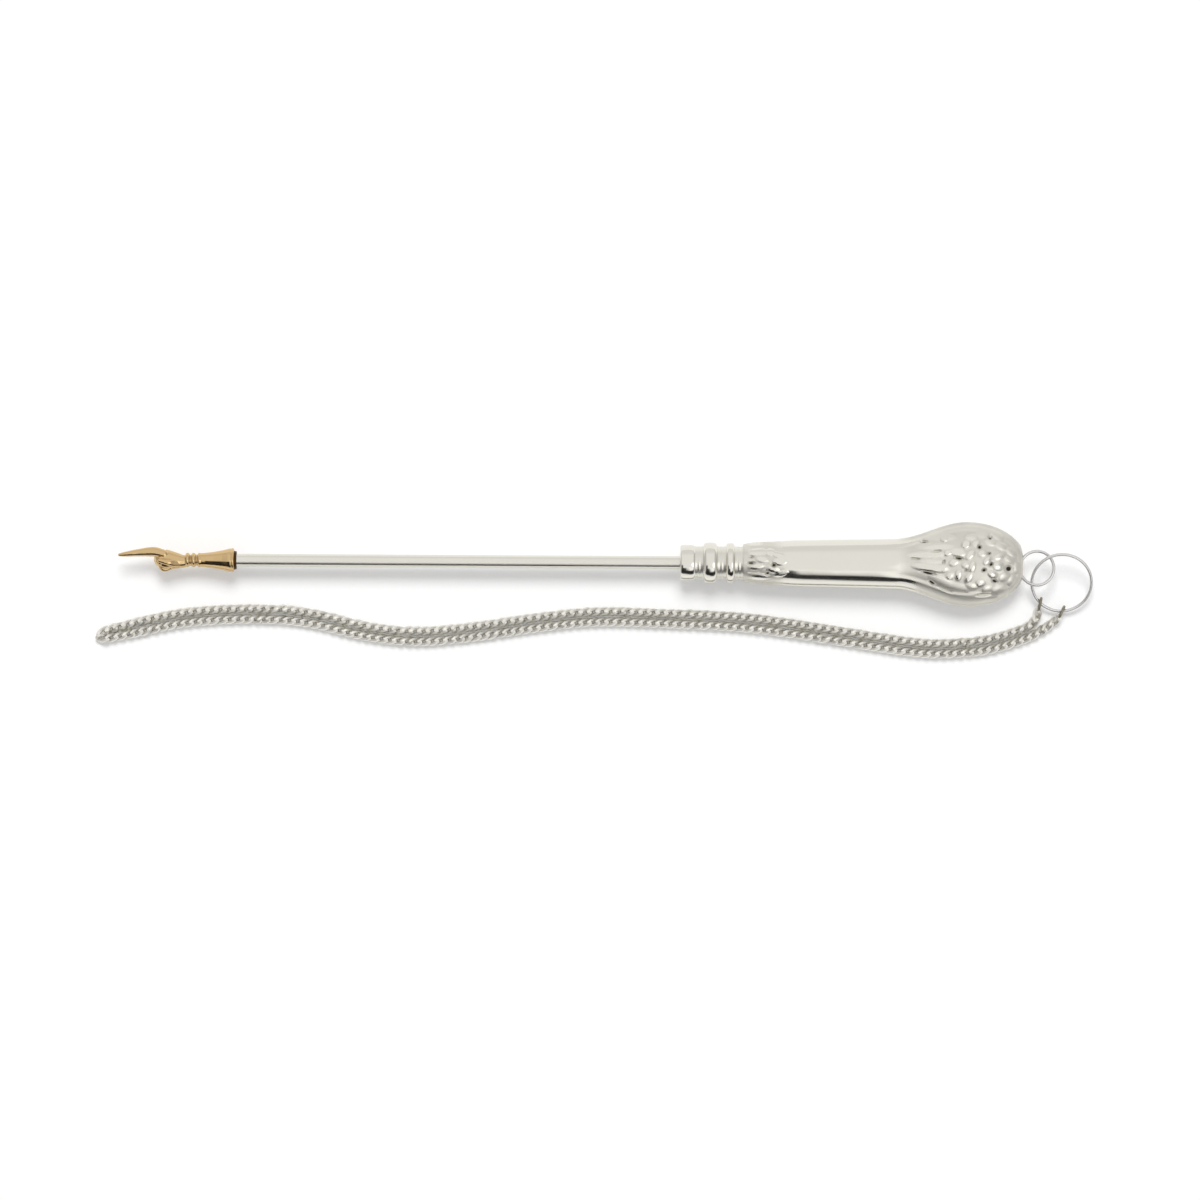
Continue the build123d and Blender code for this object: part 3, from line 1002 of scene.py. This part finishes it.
    def creases(self, points: Array, quads: Array) -> Array:
        """How far a much smoothed copy of the surface stands off it along the normal, scaled.

        Args:
            points: points of the surface.
            quads: its faces.

        Returns:
            One number for each point, positive in creases and negative on ridges.
        """
        ends = np.vstack([quads[:, [0, 1]], quads[:, [1, 2]], quads[:, [2, 3]], quads[:, [3, 0]]])
        number = np.bincount(ends[:, 0], minlength=len(points)).astype(float)[:, None]
        diagonal_a = points[quads[:, 2]] - points[quads[:, 0]]
        diagonal_b = points[quads[:, 3]] - points[quads[:, 1]]
        facing = np.cross(diagonal_a, diagonal_b)
        normal = np.stack(
            [np.bincount(quads.ravel(), np.repeat(facing[:, k], 4), len(points)) for k in range(3)],
            axis=1,
        )
        soft = points
        for _ in range(self.crease_rounds):
            near = [np.bincount(ends[:, 0], soft[ends[:, 1], k], len(points)) for k in range(3)]
            soft = 0.5 * soft + 0.5 * np.stack(near, axis=1) / number
        return np.clip(np.sum((soft - points) * unit(normal), axis=1) * self.crease_gain, -1.0, 1.0)

    def build(self, material: bpy.types.Material) -> bpy.types.Object:
        """Makes the casting.

        Args:
            material: its gilt finish.

        Returns:
            The hand.
        """
        points, quads = self.melted()
        skin = Skin()
        # Creases take tarnish and ridges wear and painted highlight; the collar behind the cuff's flared rim
        # is darkened all round as painted shade.
        collar_painted_shade = smoothstep(self.collar_x, self.collar_x + self.collar_run, points[:, 0])
        skin.add_points(points, np.maximum(self.creases(points, quads), collar_painted_shade))
        skin.faces.append(quads)
        return piece(skin, "gilt_hand", material, ("pointing_hand",), Body.POINTER)


@dataclass
class RodAndFerrule:
    """Plain rod and the turned ring mouldings where it enters the handle."""

    rod_start: float = -84.84
    rod_end: float = 69.22
    rod_radius: float = 1.48
    rod_edge: float = 0.12
    ferrule_x: float = 21.11
    ferrule_end: float = 39.21
    mouldings: tuple = ((21.11, 3.2, 4.05), (26.21, 3.2, 4.6), (31.31, 2.0, 4.5))
    cove_radius: float = 3.8
    cove_width: float = 1.9
    cove_depth: float = 0.16
    cove_tarnish: float = 0.15
    thread_height: float = 0.1
    thread_width: float = 0.13
    spigot_radius: float = 3.74
    bore: float = 1.5
    steps: int = 26
    rod_rows: int = 60
    rod_sides: int = 72
    ferrule_sides: int = 160

    def ferrule_profile(self) -> Array:
        """Closed profile of the ferrule.

        A moulding is c + (R - c)(1 - |2s - 1|^3)^0.5 over its width. A cove dips by a half sine and has
        a fine thread in its middle.

        Returns:
            Rows of x and radius, out along the outside and back along the bore.
        """
        s = np.linspace(0.0, 1.0, self.steps)
        rows = [np.array([[self.ferrule_x, self.bore]])]
        hump = np.sqrt(np.clip(1.0 - np.abs(2.0 * s - 1.0) ** 3, 0.0, 1.0))
        thread = np.exp(-(((s - 0.5) / self.thread_width) ** 2))
        dip = self.cove_depth * np.sin(math.pi * s) - self.thread_height * thread
        for start, width, crown in self.mouldings:
            swell = self.cove_radius + (crown - self.cove_radius) * hump
            rows.append(np.stack([start + width * s, swell], axis=1))
            cove = start + width + self.cove_width * s
            rows.append(np.stack([cove, self.cove_radius - dip], axis=1)[1:-1])
        last = self.mouldings[-1][0] + self.mouldings[-1][1] + self.cove_width
        rows.append(np.array([[last, self.spigot_radius], [self.ferrule_end, self.spigot_radius]]))
        rows.append(np.array([[self.ferrule_end, self.bore]]))
        return np.vstack(rows)

    def build(self, rod: bpy.types.Material, silver: bpy.types.Material) -> None:
        """Makes the rod and the ferrule.

        Args:
            rod: finish of the drawn rod.
            silver: finish of the ferrule.
        """
        edge = self.rod_edge
        ends = np.linspace(self.rod_start + edge, self.rod_end - edge, self.rod_rows)
        profile = np.stack([ends, np.full(self.rod_rows, self.rod_radius)], axis=1)
        first = np.array([[self.rod_start, self.rod_radius - edge]])
        last = np.array([[self.rod_end, self.rod_radius - edge]])
        skin = Skin()
        skin.add_grid(lathe_grid(np.vstack([first, profile, last]), self.rod_sides))
        piece(skin, "silver_rod", rod, ("rod",), Body.POINTER)
        skin = Skin()
        outline = self.ferrule_profile()
        grid = lathe_grid(outline, self.ferrule_sides)
        cove = np.where(outline[:, 1] < self.cove_radius, self.cove_tarnish, 0.0)
        skin.add_grid(grid, wrap_u=True, tarnish_shade_and_wear=np.repeat(cove[:, None], grid.shape[1], axis=1))
        piece(skin, "turned_ferrule", silver, ("ferrule",), Body.POINTER)


@dataclass
class Relief:
    """Height of the struck flowers over the handle, from 0 at the deepest to 1 on the plain metal.

    Lobes are leaves and petals: x, y, half length, half width, turn in degrees, height. Hollows are
    punched between them: x, y, half length, half width, turn, depth. Both lie as seen from above.
    """

    dip: float = 0.45
    lobe_gain: float = 0.8
    lobe_power: float = 0.9
    near_border: float = 2.7
    near_narrowing: float = 1.8
    near_run: tuple[float, float] = (87.0, 92.0)
    far_border: float = 1.5
    far_narrowing: float = 0.6
    far_run: tuple[float, float] = (90.0, 95.0)
    broad_run: tuple[float, float] = (66.0, 75.0)
    mouth_run: tuple[float, float] = (47.5, 40.0)
    ground_edge: tuple[float, float] = (-0.4, 0.8)
    lobes: tuple = (
        (79.0, 6.2, 4.4, 0.95, -2.0, 0.5),
        (78.3, 4.0, 4.8, 1.05, 0.0, 0.45),
        (76.4, 2.2, 5.0, 1.0, 2.0, 0.45),
        (77.0, 0.6, 3.4, 0.75, 0.0, 0.34),
        (77.0, -0.8, 4.6, 1.15, -6.0, 0.58),
        (79.6, -3.9, 3.4, 1.4, -24.0, 0.46),
        (82.8, -5.2, 3.6, 1.1, -9.0, 0.42),
        (83.2, 2.7, 2.0, 1.25, -12.0, 0.58),
        (85.0, 4.5, 1.3, 1.0, 30.0, 0.8),
        (86.2, 6.2, 1.7, 0.9, 8.0, 0.45),
        (80.0, 5.8, 1.1, 0.8, 0.0, 0.85),
        (85.9, 2.1, 1.5, 0.95, 50.0, 0.55),
        (80.9, 2.6, 1.2, 0.85, 20.0, 0.66),
        (79.8, -1.0, 1.5, 1.05, 0.0, 0.45),
        (82.3, 0.4, 1.4, 0.95, 25.0, 0.48),
        (83.3, -2.5, 1.4, 0.9, 85.0, 0.52),
        (86.4, -0.6, 1.5, 0.9, 80.0, 0.52),
        (84.8, -0.2, 1.0, 0.85, 0.0, 0.36),
        (81.3, -2.8, 1.3, 0.95, 40.0, 0.42),
        (85.6, -3.1, 1.5, 0.95, 60.0, 0.48),
        (86.2, -5.0, 1.7, 0.95, -5.0, 0.42),
        (88.2, -4.3, 1.3, 1.05, 20.0, 0.46),
        (89.7, 0.8, 1.3, 0.8, 50.0, 0.54),
        (91.0, -2.3, 1.3, 0.9, -20.0, 0.54),
        (92.2, -0.4, 1.4, 1.15, 0.0, 0.52),
        (92.4, 1.7, 1.6, 0.95, 20.0, 0.46),
        (93.6, -2.8, 1.5, 1.15, 30.0, 0.52),
        (96.4, -0.8, 1.4, 0.8, 85.0, 0.54),
        (94.6, 1.1, 1.3, 0.85, -30.0, 0.48),
        (95.3, -3.6, 1.4, 0.85, 55.0, 0.52),
        (92.6, -5.9, 2.1, 1.25, 12.0, 0.6),
        (89.9, -5.7, 1.4, 0.95, 10.0, 0.42),
        (90.6, 5.0, 1.8, 0.95, -10.0, 0.48),
        (92.9, 4.2, 1.9, 0.95, -25.0, 0.46),
        (95.1, 2.9, 1.7, 0.85, -42.0, 0.46),
        (88.7, 6.8, 1.9, 0.9, -4.0, 0.42),
        (92.0, 6.4, 1.6, 0.8, -25.0, 0.42),
        (88.6, 2.4, 1.2, 0.95, 0.0, 0.46),
        (87.2, 4.7, 1.1, 0.9, 40.0, 0.42),
        (38.4, 2.6, 2.7, 1.05, 3.0, 0.5),
        (41.1, 2.6, 1.3, 1.0, 0.0, 0.54),
        (39.4, 0.9, 1.7, 0.95, -10.0, 0.46),
        (43.2, 0.4, 1.7, 0.95, 0.0, 0.52),
        (38.2, -0.9, 2.1, 0.85, 8.0, 0.5),
        (41.8, -1.5, 1.6, 0.9, -12.0, 0.46),
        (38.8, -3.3, 2.8, 1.0, 0.0, 0.46),
        (42.9, 1.9, 2.0, 0.75, -22.0, 0.42),
        (43.6, -2.4, 1.8, 0.7, 18.0, 0.42),
        (37.8, 4.4, 2.2, 0.7, 0.0, 0.36),
    )
    hollows: tuple = (
        (88.0, 3.95, 0.52, 0.5, 0.0, 1.0),
        (90.4, 6.1, 0.45, 0.42, 0.0, 0.9),
        (90.2, 2.5, 0.42, 0.36, 20.0, 0.9),
        (90.6, 0.0, 0.55, 0.42, 50.0, 1.0),
        (89.0, -1.34, 0.55, 0.48, 0.0, 1.0),
        (94.55, -0.99, 0.85, 0.8, 0.0, 1.0),
        (91.4, -3.85, 0.8, 0.46, -28.0, 1.0),
        (85.0, -1.5, 0.42, 0.36, 0.0, 0.85),
        (80.0, 0.5, 0.5, 0.32, 60.0, 0.85),
        (76.5, -2.1, 1.7, 0.3, -12.0, 1.0),
        (77.4, -4.3, 1.0, 0.32, -35.0, 1.0),
        (83.3, 1.35, 1.2, 0.36, -12.0, 0.95),
        (75.6, 5.2, 0.9, 0.28, 0.0, 0.9),
        (73.6, 1.2, 1.0, 0.22, -6.0, 0.75),
        (78.4, 2.95, 1.1, 0.24, 4.0, 0.75),
        (80.5, -5.85, 1.7, 0.24, -22.0, 0.6),
        (83.6, -6.4, 1.6, 0.22, -3.0, 0.6),
        (88.9, -6.9, 1.5, 0.34, 4.0, 0.85),
        (36.9, 0.0, 0.9, 0.34, 4.0, 0.95),
        (37.0, 1.45, 0.5, 0.28, 0.0, 0.85),
        (42.0, -0.5, 0.52, 0.46, 0.0, 1.0),
        (40.6, -2.5, 0.52, 0.4, 0.0, 0.95),
        (37.6, -2.1, 1.3, 0.2, 6.0, 0.8),
    )

    def reach(self, x: Array, y: Array, row: tuple) -> Array:
        """Distance from the middle of an oval as a share of its edge: sqrt((u / a)^2 + (v / b)^2).

        Args:
            x: places along the handle.
            y: places across it.
            row: middle, half length, half width and turn.

        Returns:
            0 at the middle, 1 on the edge.
        """
        turn = math.radians(row[4])
        dx, dy = x - row[0], y - row[1]
        along = (dx * math.cos(turn) + dy * math.sin(turn)) / row[2]
        across = (dy * math.cos(turn) - dx * math.sin(turn)) / row[3]
        return np.hypot(along, across)

    def height(self, x: Array, y: Array, inner: Array) -> Array:
        """Whole relief: a sunk ground inside the plain border, lobes h (1 - r^2)^0.9 on it, and hollows.

        Args:
            x: places along the handle.
            y: places across it.
            inner: distance in from the handle's outline, seen from above.

        Returns:
            Heights from 0 to 1.
        """
        near = self.near_border - self.near_narrowing * smoothstep(*self.near_run, x)
        far = self.far_border - self.far_narrowing * smoothstep(*self.far_run, x)
        edge = smoothstep(*self.ground_edge, inner - np.where(y < 0.0, near, far))
        broad = smoothstep(*self.broad_run, x) * edge
        ground = 1.0 - self.dip * np.maximum(broad, smoothstep(*self.mouth_run, x))
        raised = np.zeros_like(x)
        for row in self.lobes:
            dome = np.clip(1.0 - self.reach(x, y, row) ** 2, 0.0, 1.0) ** self.lobe_power
            raised = np.maximum(raised, self.lobe_gain * row[5] * dome)
        total = np.minimum(ground + raised, 1.0)
        for row in self.hollows:
            total = total * (1.0 - row[5] * np.exp(-(self.reach(x, y, row) ** 4)))
        return np.clip(total, 0.0, 1.0)


@dataclass
class Handle:
    """Two struck shells that meet along the sides, with flowers near the mouth and on the broad end."""

    mouth_x: float = 35.21
    mouth_radius: float = 4.5
    swell_length: float = 6.0
    swell_width: float = 5.1
    grip_length: float = 33.7
    grip_width: float = 5.65
    grip_depth: float = 4.7
    flare_length: float = 16.6
    paddle_width: float = 9.5
    paddle_depth: float = 4.9
    end_length: float = 12.5
    tip_width: float = 3.4
    tip_depth: float = 1.7
    tip_round: float = 0.75
    wall: float = 0.75
    strike: float = 0.6
    ground_tarnish: float = 0.27
    # Strength of the painted dark reflection along the far rim.
    far_rim_painted_reflection: float = 0.33
    border_tarnish: float = 0.2
    border_start: float = 71.5
    border_run: float = 4.0
    across: int = 201
    inner_across: int = 24
    ground_step: tuple[float, float] = (1.0, 0.55)
    hollow_step: tuple[float, float] = (0.2, 0.0)
    rim_step: tuple[float, float] = (1.5, 0.3)
    rim_run: tuple[float, float] = (66.0, 75.0)
    border_depth: float = 3.0
    near_depth: float = 1.6
    near_run: tuple[float, float] = (88.0, 85.0)
    front_end: float = 11.0
    plain_end: float = 34.5
    closing: float = 1.0
    counts: tuple[int, int, int, int] = (96, 24, 268, 24)
    end_spare: float = 0.6
    tip_share: float = 0.3
    least_wall: float = 0.25

    def stations(self) -> Array:
        """Places along the handle, closest together where the flowers are.

        Returns:
            Distances from the mouth.
        """
        last = self.grip_length + self.flare_length + self.end_length - self.closing
        front = np.linspace(0.0, self.front_end, self.counts[0], endpoint=False)
        plain = np.linspace(self.front_end, self.plain_end, self.counts[1], endpoint=False)
        flowers = np.linspace(self.plain_end, last, self.counts[2], endpoint=False)
        closing = last + self.closing * np.sin(np.linspace(0.0, 0.5 * math.pi, self.counts[3]))
        return np.concatenate([front, plain, flowers, closing])

    def outline(self, x: Array) -> tuple[Array, Array]:
        """Half width and half depth: swell, slow taper, cosine flare, elliptic end and rounded tip.

        Args:
            x: distances from the mouth.

        Returns:
            Half widths and half depths.
        """
        flare_end = self.grip_length + self.flare_length
        swell = np.sin(0.5 * math.pi * np.clip(x / self.swell_length, 0.0, 1.0))
        taper = np.clip((x - self.swell_length) / (self.grip_length - self.swell_length), 0.0, 1.0)
        flare = 0.5 - 0.5 * np.cos(math.pi * np.clip((x - self.grip_length) / self.flare_length, 0.0, 1.0))
        gone = np.clip((x - flare_end) / self.end_length, 0.0, 1.0)
        wide = self.mouth_radius + (self.swell_width - self.mouth_radius) * swell
        wide = wide + (self.grip_width - self.swell_width) * taper
        wide = wide + (self.paddle_width - self.grip_width) * flare
        wide = np.sqrt(wide**2 - (self.paddle_width**2 - self.tip_width**2) * gone**2)
        deep = self.mouth_radius + (self.grip_depth - self.mouth_radius) * swell
        deep = deep + (self.paddle_depth - self.grip_depth) * flare
        deep = np.sqrt(deep**2 - (self.paddle_depth**2 - self.tip_depth**2) * gone**2)
        left = (flare_end + self.end_length - x) / self.tip_round
        bow = np.sqrt(np.clip(1.0 - np.clip(1.0 - left, 0.0, 1.0) ** 2, 0.0, 1.0))
        close = self.tip_share + (1.0 - self.tip_share) * bow
        return wide * close, deep * close

    def inset(self, x: Array, y: Array, wide: Array) -> Array:
        """Distance in from the handle's outline, seen from above.

        On the rounded end it is w (1 - sqrt((y / w)^2 + r^2)), where r is the share of the end passed.

        Args:
            x: places along the handle.
            y: places across it.
            wide: half widths there.

        Returns:
            The distances.
        """
        paddle_x = self.mouth_x + self.grip_length + self.flare_length
        reach = np.clip((x - paddle_x) / (self.end_length + self.end_spare), 0.0, None)
        rounded = self.paddle_width * (1.0 - np.sqrt((y / self.paddle_width) ** 2 + reach**2))
        return np.where(reach > 0.0, rounded, wide - np.abs(y))

    def tarnish_and_shade(self, x: Array, y: Array, inner: Array, height: Array) -> Array:
        """Tarnish and shade values: full tarnish in the hollows, slight tarnish on the sunk ground and along
        the borders, and a painted dark reflection along the far rim.

        Args:
            x: places along the handle.
            y: places across it.
            inner: distances in from the outline.
            height: heights of the relief.

        Returns:
            Values from 0 to 1.
        """
        # Painted dark reflection: near the outline on the far (+y) side only, from the flare on.
        far_rim_reflection_mask = smoothstep(*self.rim_step, inner) * smoothstep(*self.rim_run, x) * (y > 0.0)
        ground = self.ground_tarnish * smoothstep(*self.ground_step, height)
        along = smoothstep(self.border_start, self.border_start + self.border_run, x)
        near = self.border_depth + self.near_depth * smoothstep(*self.near_run, x)
        depth = np.where(y < 0.0, near, self.border_depth)
        border = self.border_tarnish * along * smoothstep(1.0, 0.0, inner - depth)
        slight = np.maximum(np.maximum(ground, self.far_rim_painted_reflection * far_rim_reflection_mask), border)
        return np.maximum(smoothstep(*self.hollow_step, height), slight)

    def shell(self, side: float) -> Skin:
        """One shell: oval sections (w sin t, d cos t) sunk along their normals where the relief is low.

        Args:
            side: 1 for the front shell, -1 for the back shell.

        Returns:
            The closed surface, out over the outside and back along the inner wall.
        """
        place = self.stations()
        wide, deep = (v[:, None] for v in self.outline(place))
        t = np.linspace(-0.5 * math.pi, 0.5 * math.pi, self.across)[None, :]
        x = np.broadcast_to(self.mouth_x + place[:, None], (len(place), self.across))
        y, z = wide * np.sin(t), deep * np.cos(t)
        inner = self.inset(x, y, wide)
        height = Relief().height(x, y, inner)
        facing = unit(np.stack([y / wide**2, z / deep**2], axis=2))
        sunk = self.strike * (1.0 - height)
        y = y - facing[:, :, 0] * sunk
        z = z - facing[:, :, 1] * sunk
        z = np.maximum(z, 0.0)
        thin = [np.maximum(1.0 - self.wall / half, self.least_wall) for half in (wide, deep)]
        back_t = np.linspace(0.5 * math.pi, -0.5 * math.pi, self.inner_across)[None, :]
        length = self.grip_length + self.flare_length + self.end_length
        inner_x = self.mouth_x + place[:, None] * (length - self.wall) / length
        inner_wall = np.stack(
            [
                np.broadcast_to(inner_x, (len(place), self.inner_across)),
                thin[0] * wide * np.sin(back_t),
                thin[1] * deep * np.cos(back_t),
            ],
            axis=2,
        )
        outer_wall = np.stack([x, y, z], axis=2)
        grid = np.concatenate([outer_wall, inner_wall], axis=1)
        grid[:, :, 2] = AXIS_HEIGHT + side * grid[:, :, 2]
        grid[:, :, 2] = np.maximum(grid[:, :, 2], 0.0)
        tarnish_shade_and_wear = np.zeros(grid.shape[:2])
        tarnish_shade_and_wear[:, : self.across] = self.tarnish_and_shade(x, y, inner, height)
        skin = Skin()
        skin.add_grid(grid, caps=False, tarnish_shade_and_wear=tarnish_shade_and_wear)
        skin.add_ends(grid, 0)
        return skin

    def build(self, silver: bpy.types.Material, cement: bpy.types.Material) -> None:
        """Makes both shells and finishes the filling that shows nowhere.

        Args:
            silver: finish of the shells.
            cement: finish of the filling.
        """
        piece(self.shell(1.0), "struck_front", silver, ("handle_front_shell",), Body.POINTER)
        piece(self.shell(-1.0), "struck_back", silver, ("handle_back_shell",), Body.POINTER)
        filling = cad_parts["handle_filler"]
        filling.data.materials.clear()
        filling.data.materials.append(cement)
        LOG.info("handle_filler: keeps its solid")


@dataclass
class Studio:
    """White table, soft light from behind, a dark card low in front, and a camera straight above."""

    frame_width: float = 0.27
    centre: tuple[float, float] = (0.00315, -0.00845)
    height: float = 1.5
    sensor: float = 36.0
    droop: float = 0.33
    key_elevation: float = 57.0
    key_power: float = 1.9
    key_angle: float = 26.0
    ambient: float = 0.5
    floor_shade: float = 0.82
    floor_lift: float = 0.2
    floor_reach: float = 4.0
    floor_level: float = -0.00002
    card_top: float = 0.84
    card_top_drop: float = 0.24
    card_foot: float = 0.25
    card_foot_drop: float = 0.1
    card_turn: float = 0.002
    card_run: float = 0.03
    card_dark: float = 0.97
    room_level: float = 0.93
    side_fall: float = 0.38
    far_fall: float = 0.12
    glow_level: float = 0.22
    glow_left: float = 0.4
    lamp_level: float = 0.9
    lamp_way: tuple[float, float, float] = (0.42, -0.22, 0.88)

    def camera(self) -> None:
        """Long lens straight above the table, turned so that the pointer falls away to the right."""
        data = bpy.data.cameras.new("camera")
        data.sensor_width = self.sensor
        data.lens = self.sensor * self.height / self.frame_width
        data.clip_start = 0.01
        data.clip_end = 10.0
        made = bpy.data.objects.new("camera", data)
        made.location = (*self.centre, self.height)
        made.rotation_euler = (0.0, 0.0, math.radians(self.droop))
        bpy.context.scene.collection.objects.link(made)
        bpy.context.scene.camera = made

    def seen(self, shader: Shader) -> Value:
        """Tells the rays that see the white background from those that only light the object.

        Args:
            shader: shader that gets the nodes.

        Returns:
            1 for rays from the camera, off metal or through glass, 0 for the rest.
        """
        path = shader.node("ShaderNodeLightPath")
        kinds = ("Camera", "Glossy", "Transmission")
        rays = [Value(shader, path.outputs[f"Is {kind} Ray"]) for kind in kinds]
        return rays[0].most(rays[1]).most(rays[2])

    def floor(self) -> None:
        """Large white table that keeps the shadows and shows white to the camera."""
        mesh = bpy.data.meshes.new("table_top")
        reach = self.floor_reach
        corners = [(-reach, -reach), (reach, -reach), (reach, reach), (-reach, reach)]
        mesh.from_pydata([(x, y, self.floor_level) for x, y in corners], [], [(0, 1, 2, 3)])
        made = bpy.data.objects.new("table_top", mesh)
        bpy.context.scene.collection.objects.link(made)
        material = bpy.data.materials.new("white_table")
        material.use_nodes = True
        shader = Shader(material.node_tree)
        shade = (self.floor_shade,) * 3
        matt = shader.node("ShaderNodeBsdfDiffuse", None, {"Color": (*shade, 1.0)})
        lift = shader.node("ShaderNodeEmission", None, {"Strength": self.seen(shader) * self.floor_lift})
        both = shader.node("ShaderNodeAddShader", None, {0: matt.outputs[0], 1: lift.outputs[0]})
        shader.node("ShaderNodeOutputMaterial", None, {"Surface": both.outputs[0]})
        mesh.materials.append(material)

    def light(self) -> None:
        """Soft key light from the far side of the table, which casts the shadows towards the viewer."""
        data = bpy.data.lights.new("key", "SUN")
        data.energy = self.key_power
        data.angle = math.radians(self.key_angle)
        made = bpy.data.objects.new("key", data)
        lean = math.radians(90.0 - self.key_elevation)
        made.rotation_euler = (-lean, 0.0, 0.0)
        made.visible_glossy = False
        bpy.context.scene.collection.objects.link(made)

    def world(self) -> None:
        """White room with a dark card low on the near side, which metal shows as a dark line."""
        world = bpy.data.worlds.new("studio")
        bpy.context.scene.world = world
        world.use_nodes = True
        shader = Shader(world.node_tree)
        way = shader.node("ShaderNodeTexCoord").outputs["Generated"]
        split = shader.node("ShaderNodeSeparateXYZ", None, {"Vector": way})
        x, y, z = (Value(shader, split.outputs[axis]) for axis in "XYZ")
        level = shader.math("SQRT", (1.0 - z * z).most(0.0001))
        near = (0.0 - y) / level
        drift = ((x + self.card_turn) / self.card_run).most(0.0).least(1.0)
        top = self.card_top - self.card_top_drop * drift
        foot = self.card_foot - self.card_foot_drop * drift
        card = near.step(0.6, 0.85) * (z - foot).step(-0.03, 0.03) * (top - z).step(-0.02, 0.02)
        stand = (0.0 - x).step(0.16, 0.26) * (1.0 - (0.0 - x).step(0.5, 0.62))
        stand = stand * (0.0 - y).step(0.2, 0.3) * (1.0 - (0.0 - y).step(0.76, 0.86))
        dark = card.most(stand)
        glow = (0.0 - y).step(0.42, 0.58) * (1.0 - (0.0 - y).step(0.66, 0.78)) * near.step(0.6, 0.9)
        sides = x.most(0.0 - x).step(0.3, 0.8)
        glow = glow * (self.glow_level + self.glow_left * (0.0 - x).step(0.06, 0.1))
        room = self.room_level + glow - sides * self.side_fall - y.step(0.72, 0.95) * self.far_fall
        towards = x * self.lamp_way[0] + y * self.lamp_way[1] + z * self.lamp_way[2]
        lamp = towards.step(0.95, 0.985) * self.lamp_level
        path = shader.node("ShaderNodeLightPath")
        camera = Value(shader, path.outputs["Is Camera Ray"])
        seen = self.seen(shader)
        lit = camera + (1.0 - camera) * ((room + lamp) * (1.0 - dark * self.card_dark))
        strength = seen * lit + (1.0 - seen) * self.ambient
        white = (1.0, 1.0, 1.0, 1.0)
        back = shader.node("ShaderNodeBackground", None, {"Color": white, "Strength": strength})
        shader.node("ShaderNodeOutputWorld", None, {"Surface": back.outputs[0]})

    def build(self) -> None:
        """Sets up the camera, table, light and room."""
        self.camera()
        self.floor()
        self.light()
        self.world()
        bpy.context.scene.view_settings.view_transform = "Standard"


def main() -> None:
    """Builds every piece in order."""
    logging.basicConfig(level=logging.INFO, format="%(name)s %(message)s")
    silver = MetalFinish(
        name="struck_silver",
        colour=CLEAN_SILVER,
        tarnish_and_shade_colour=(0.06, 0.052, 0.04),
        wear_and_highlight_colour=RUBBED_SILVER,
        roughness=0.13,
        lines=(60.0, 2600.0, 2600.0),
        matt=0.3,
    ).material()
    drawn = MetalFinish(
        name="drawn_rod",
        colour=CLEAN_SILVER,
        tarnish_and_shade_colour=(0.3, 0.27, 0.22),
        wear_and_highlight_colour=RUBBED_SILVER,
        roughness=0.23,
        lines=(25.0, 3600.0, 3600.0),
    ).material()
    wire = MetalFinish(
        name="ring_wire",
        colour=(0.72, 0.71, 0.7),
        tarnish_and_shade_colour=(0.25, 0.23, 0.2),
        wear_and_highlight_colour=(0.8, 0.79, 0.76),
        roughness=0.24,
        lines=(900.0,) * 3,
    ).material()
    # Its dark colour is painted shade under the links; its rubbed colour is wear and painted highlight on
    # their tops.
    links = MetalFinish(
        name="chain_links",
        colour=(0.84, 0.82, 0.76),
        tarnish_and_shade_colour=(0.5, 0.47, 0.39),
        wear_and_highlight_colour=(0.88, 0.86, 0.81),
        roughness=0.42,
        lines=(1800.0,) * 3,
    ).material()
    dull = MetalFinish(
        name="dull_links",
        colour=(0.3, 0.28, 0.22),
        tarnish_and_shade_colour=(0.1, 0.09, 0.07),
        wear_and_highlight_colour=(0.5, 0.48, 0.4),
        roughness=0.3,
        lines=(1800.0,) * 3,
    ).material()
    # Its rubbed colour also gives the hand's ridges a painted highlight.
    gilt = MetalFinish(
        name="cast_gilding",
        colour=(0.68, 0.485, 0.25),
        tarnish_and_shade_colour=(0.08, 0.04, 0.012),
        wear_and_highlight_colour=(0.86, 0.69, 0.42),
        roughness=0.13,
        lines=(700.0, 1500.0, 1500.0),
    ).material()
    Studio().build()
    CurbChain().build(links)
    WireRings().build(wire, dull)
    PointingHand().build(gilt)
    RodAndFerrule().build(drawn, silver)
    Handle().build(silver, CementFinish().material())


if __name__ == "__main__":
    main()
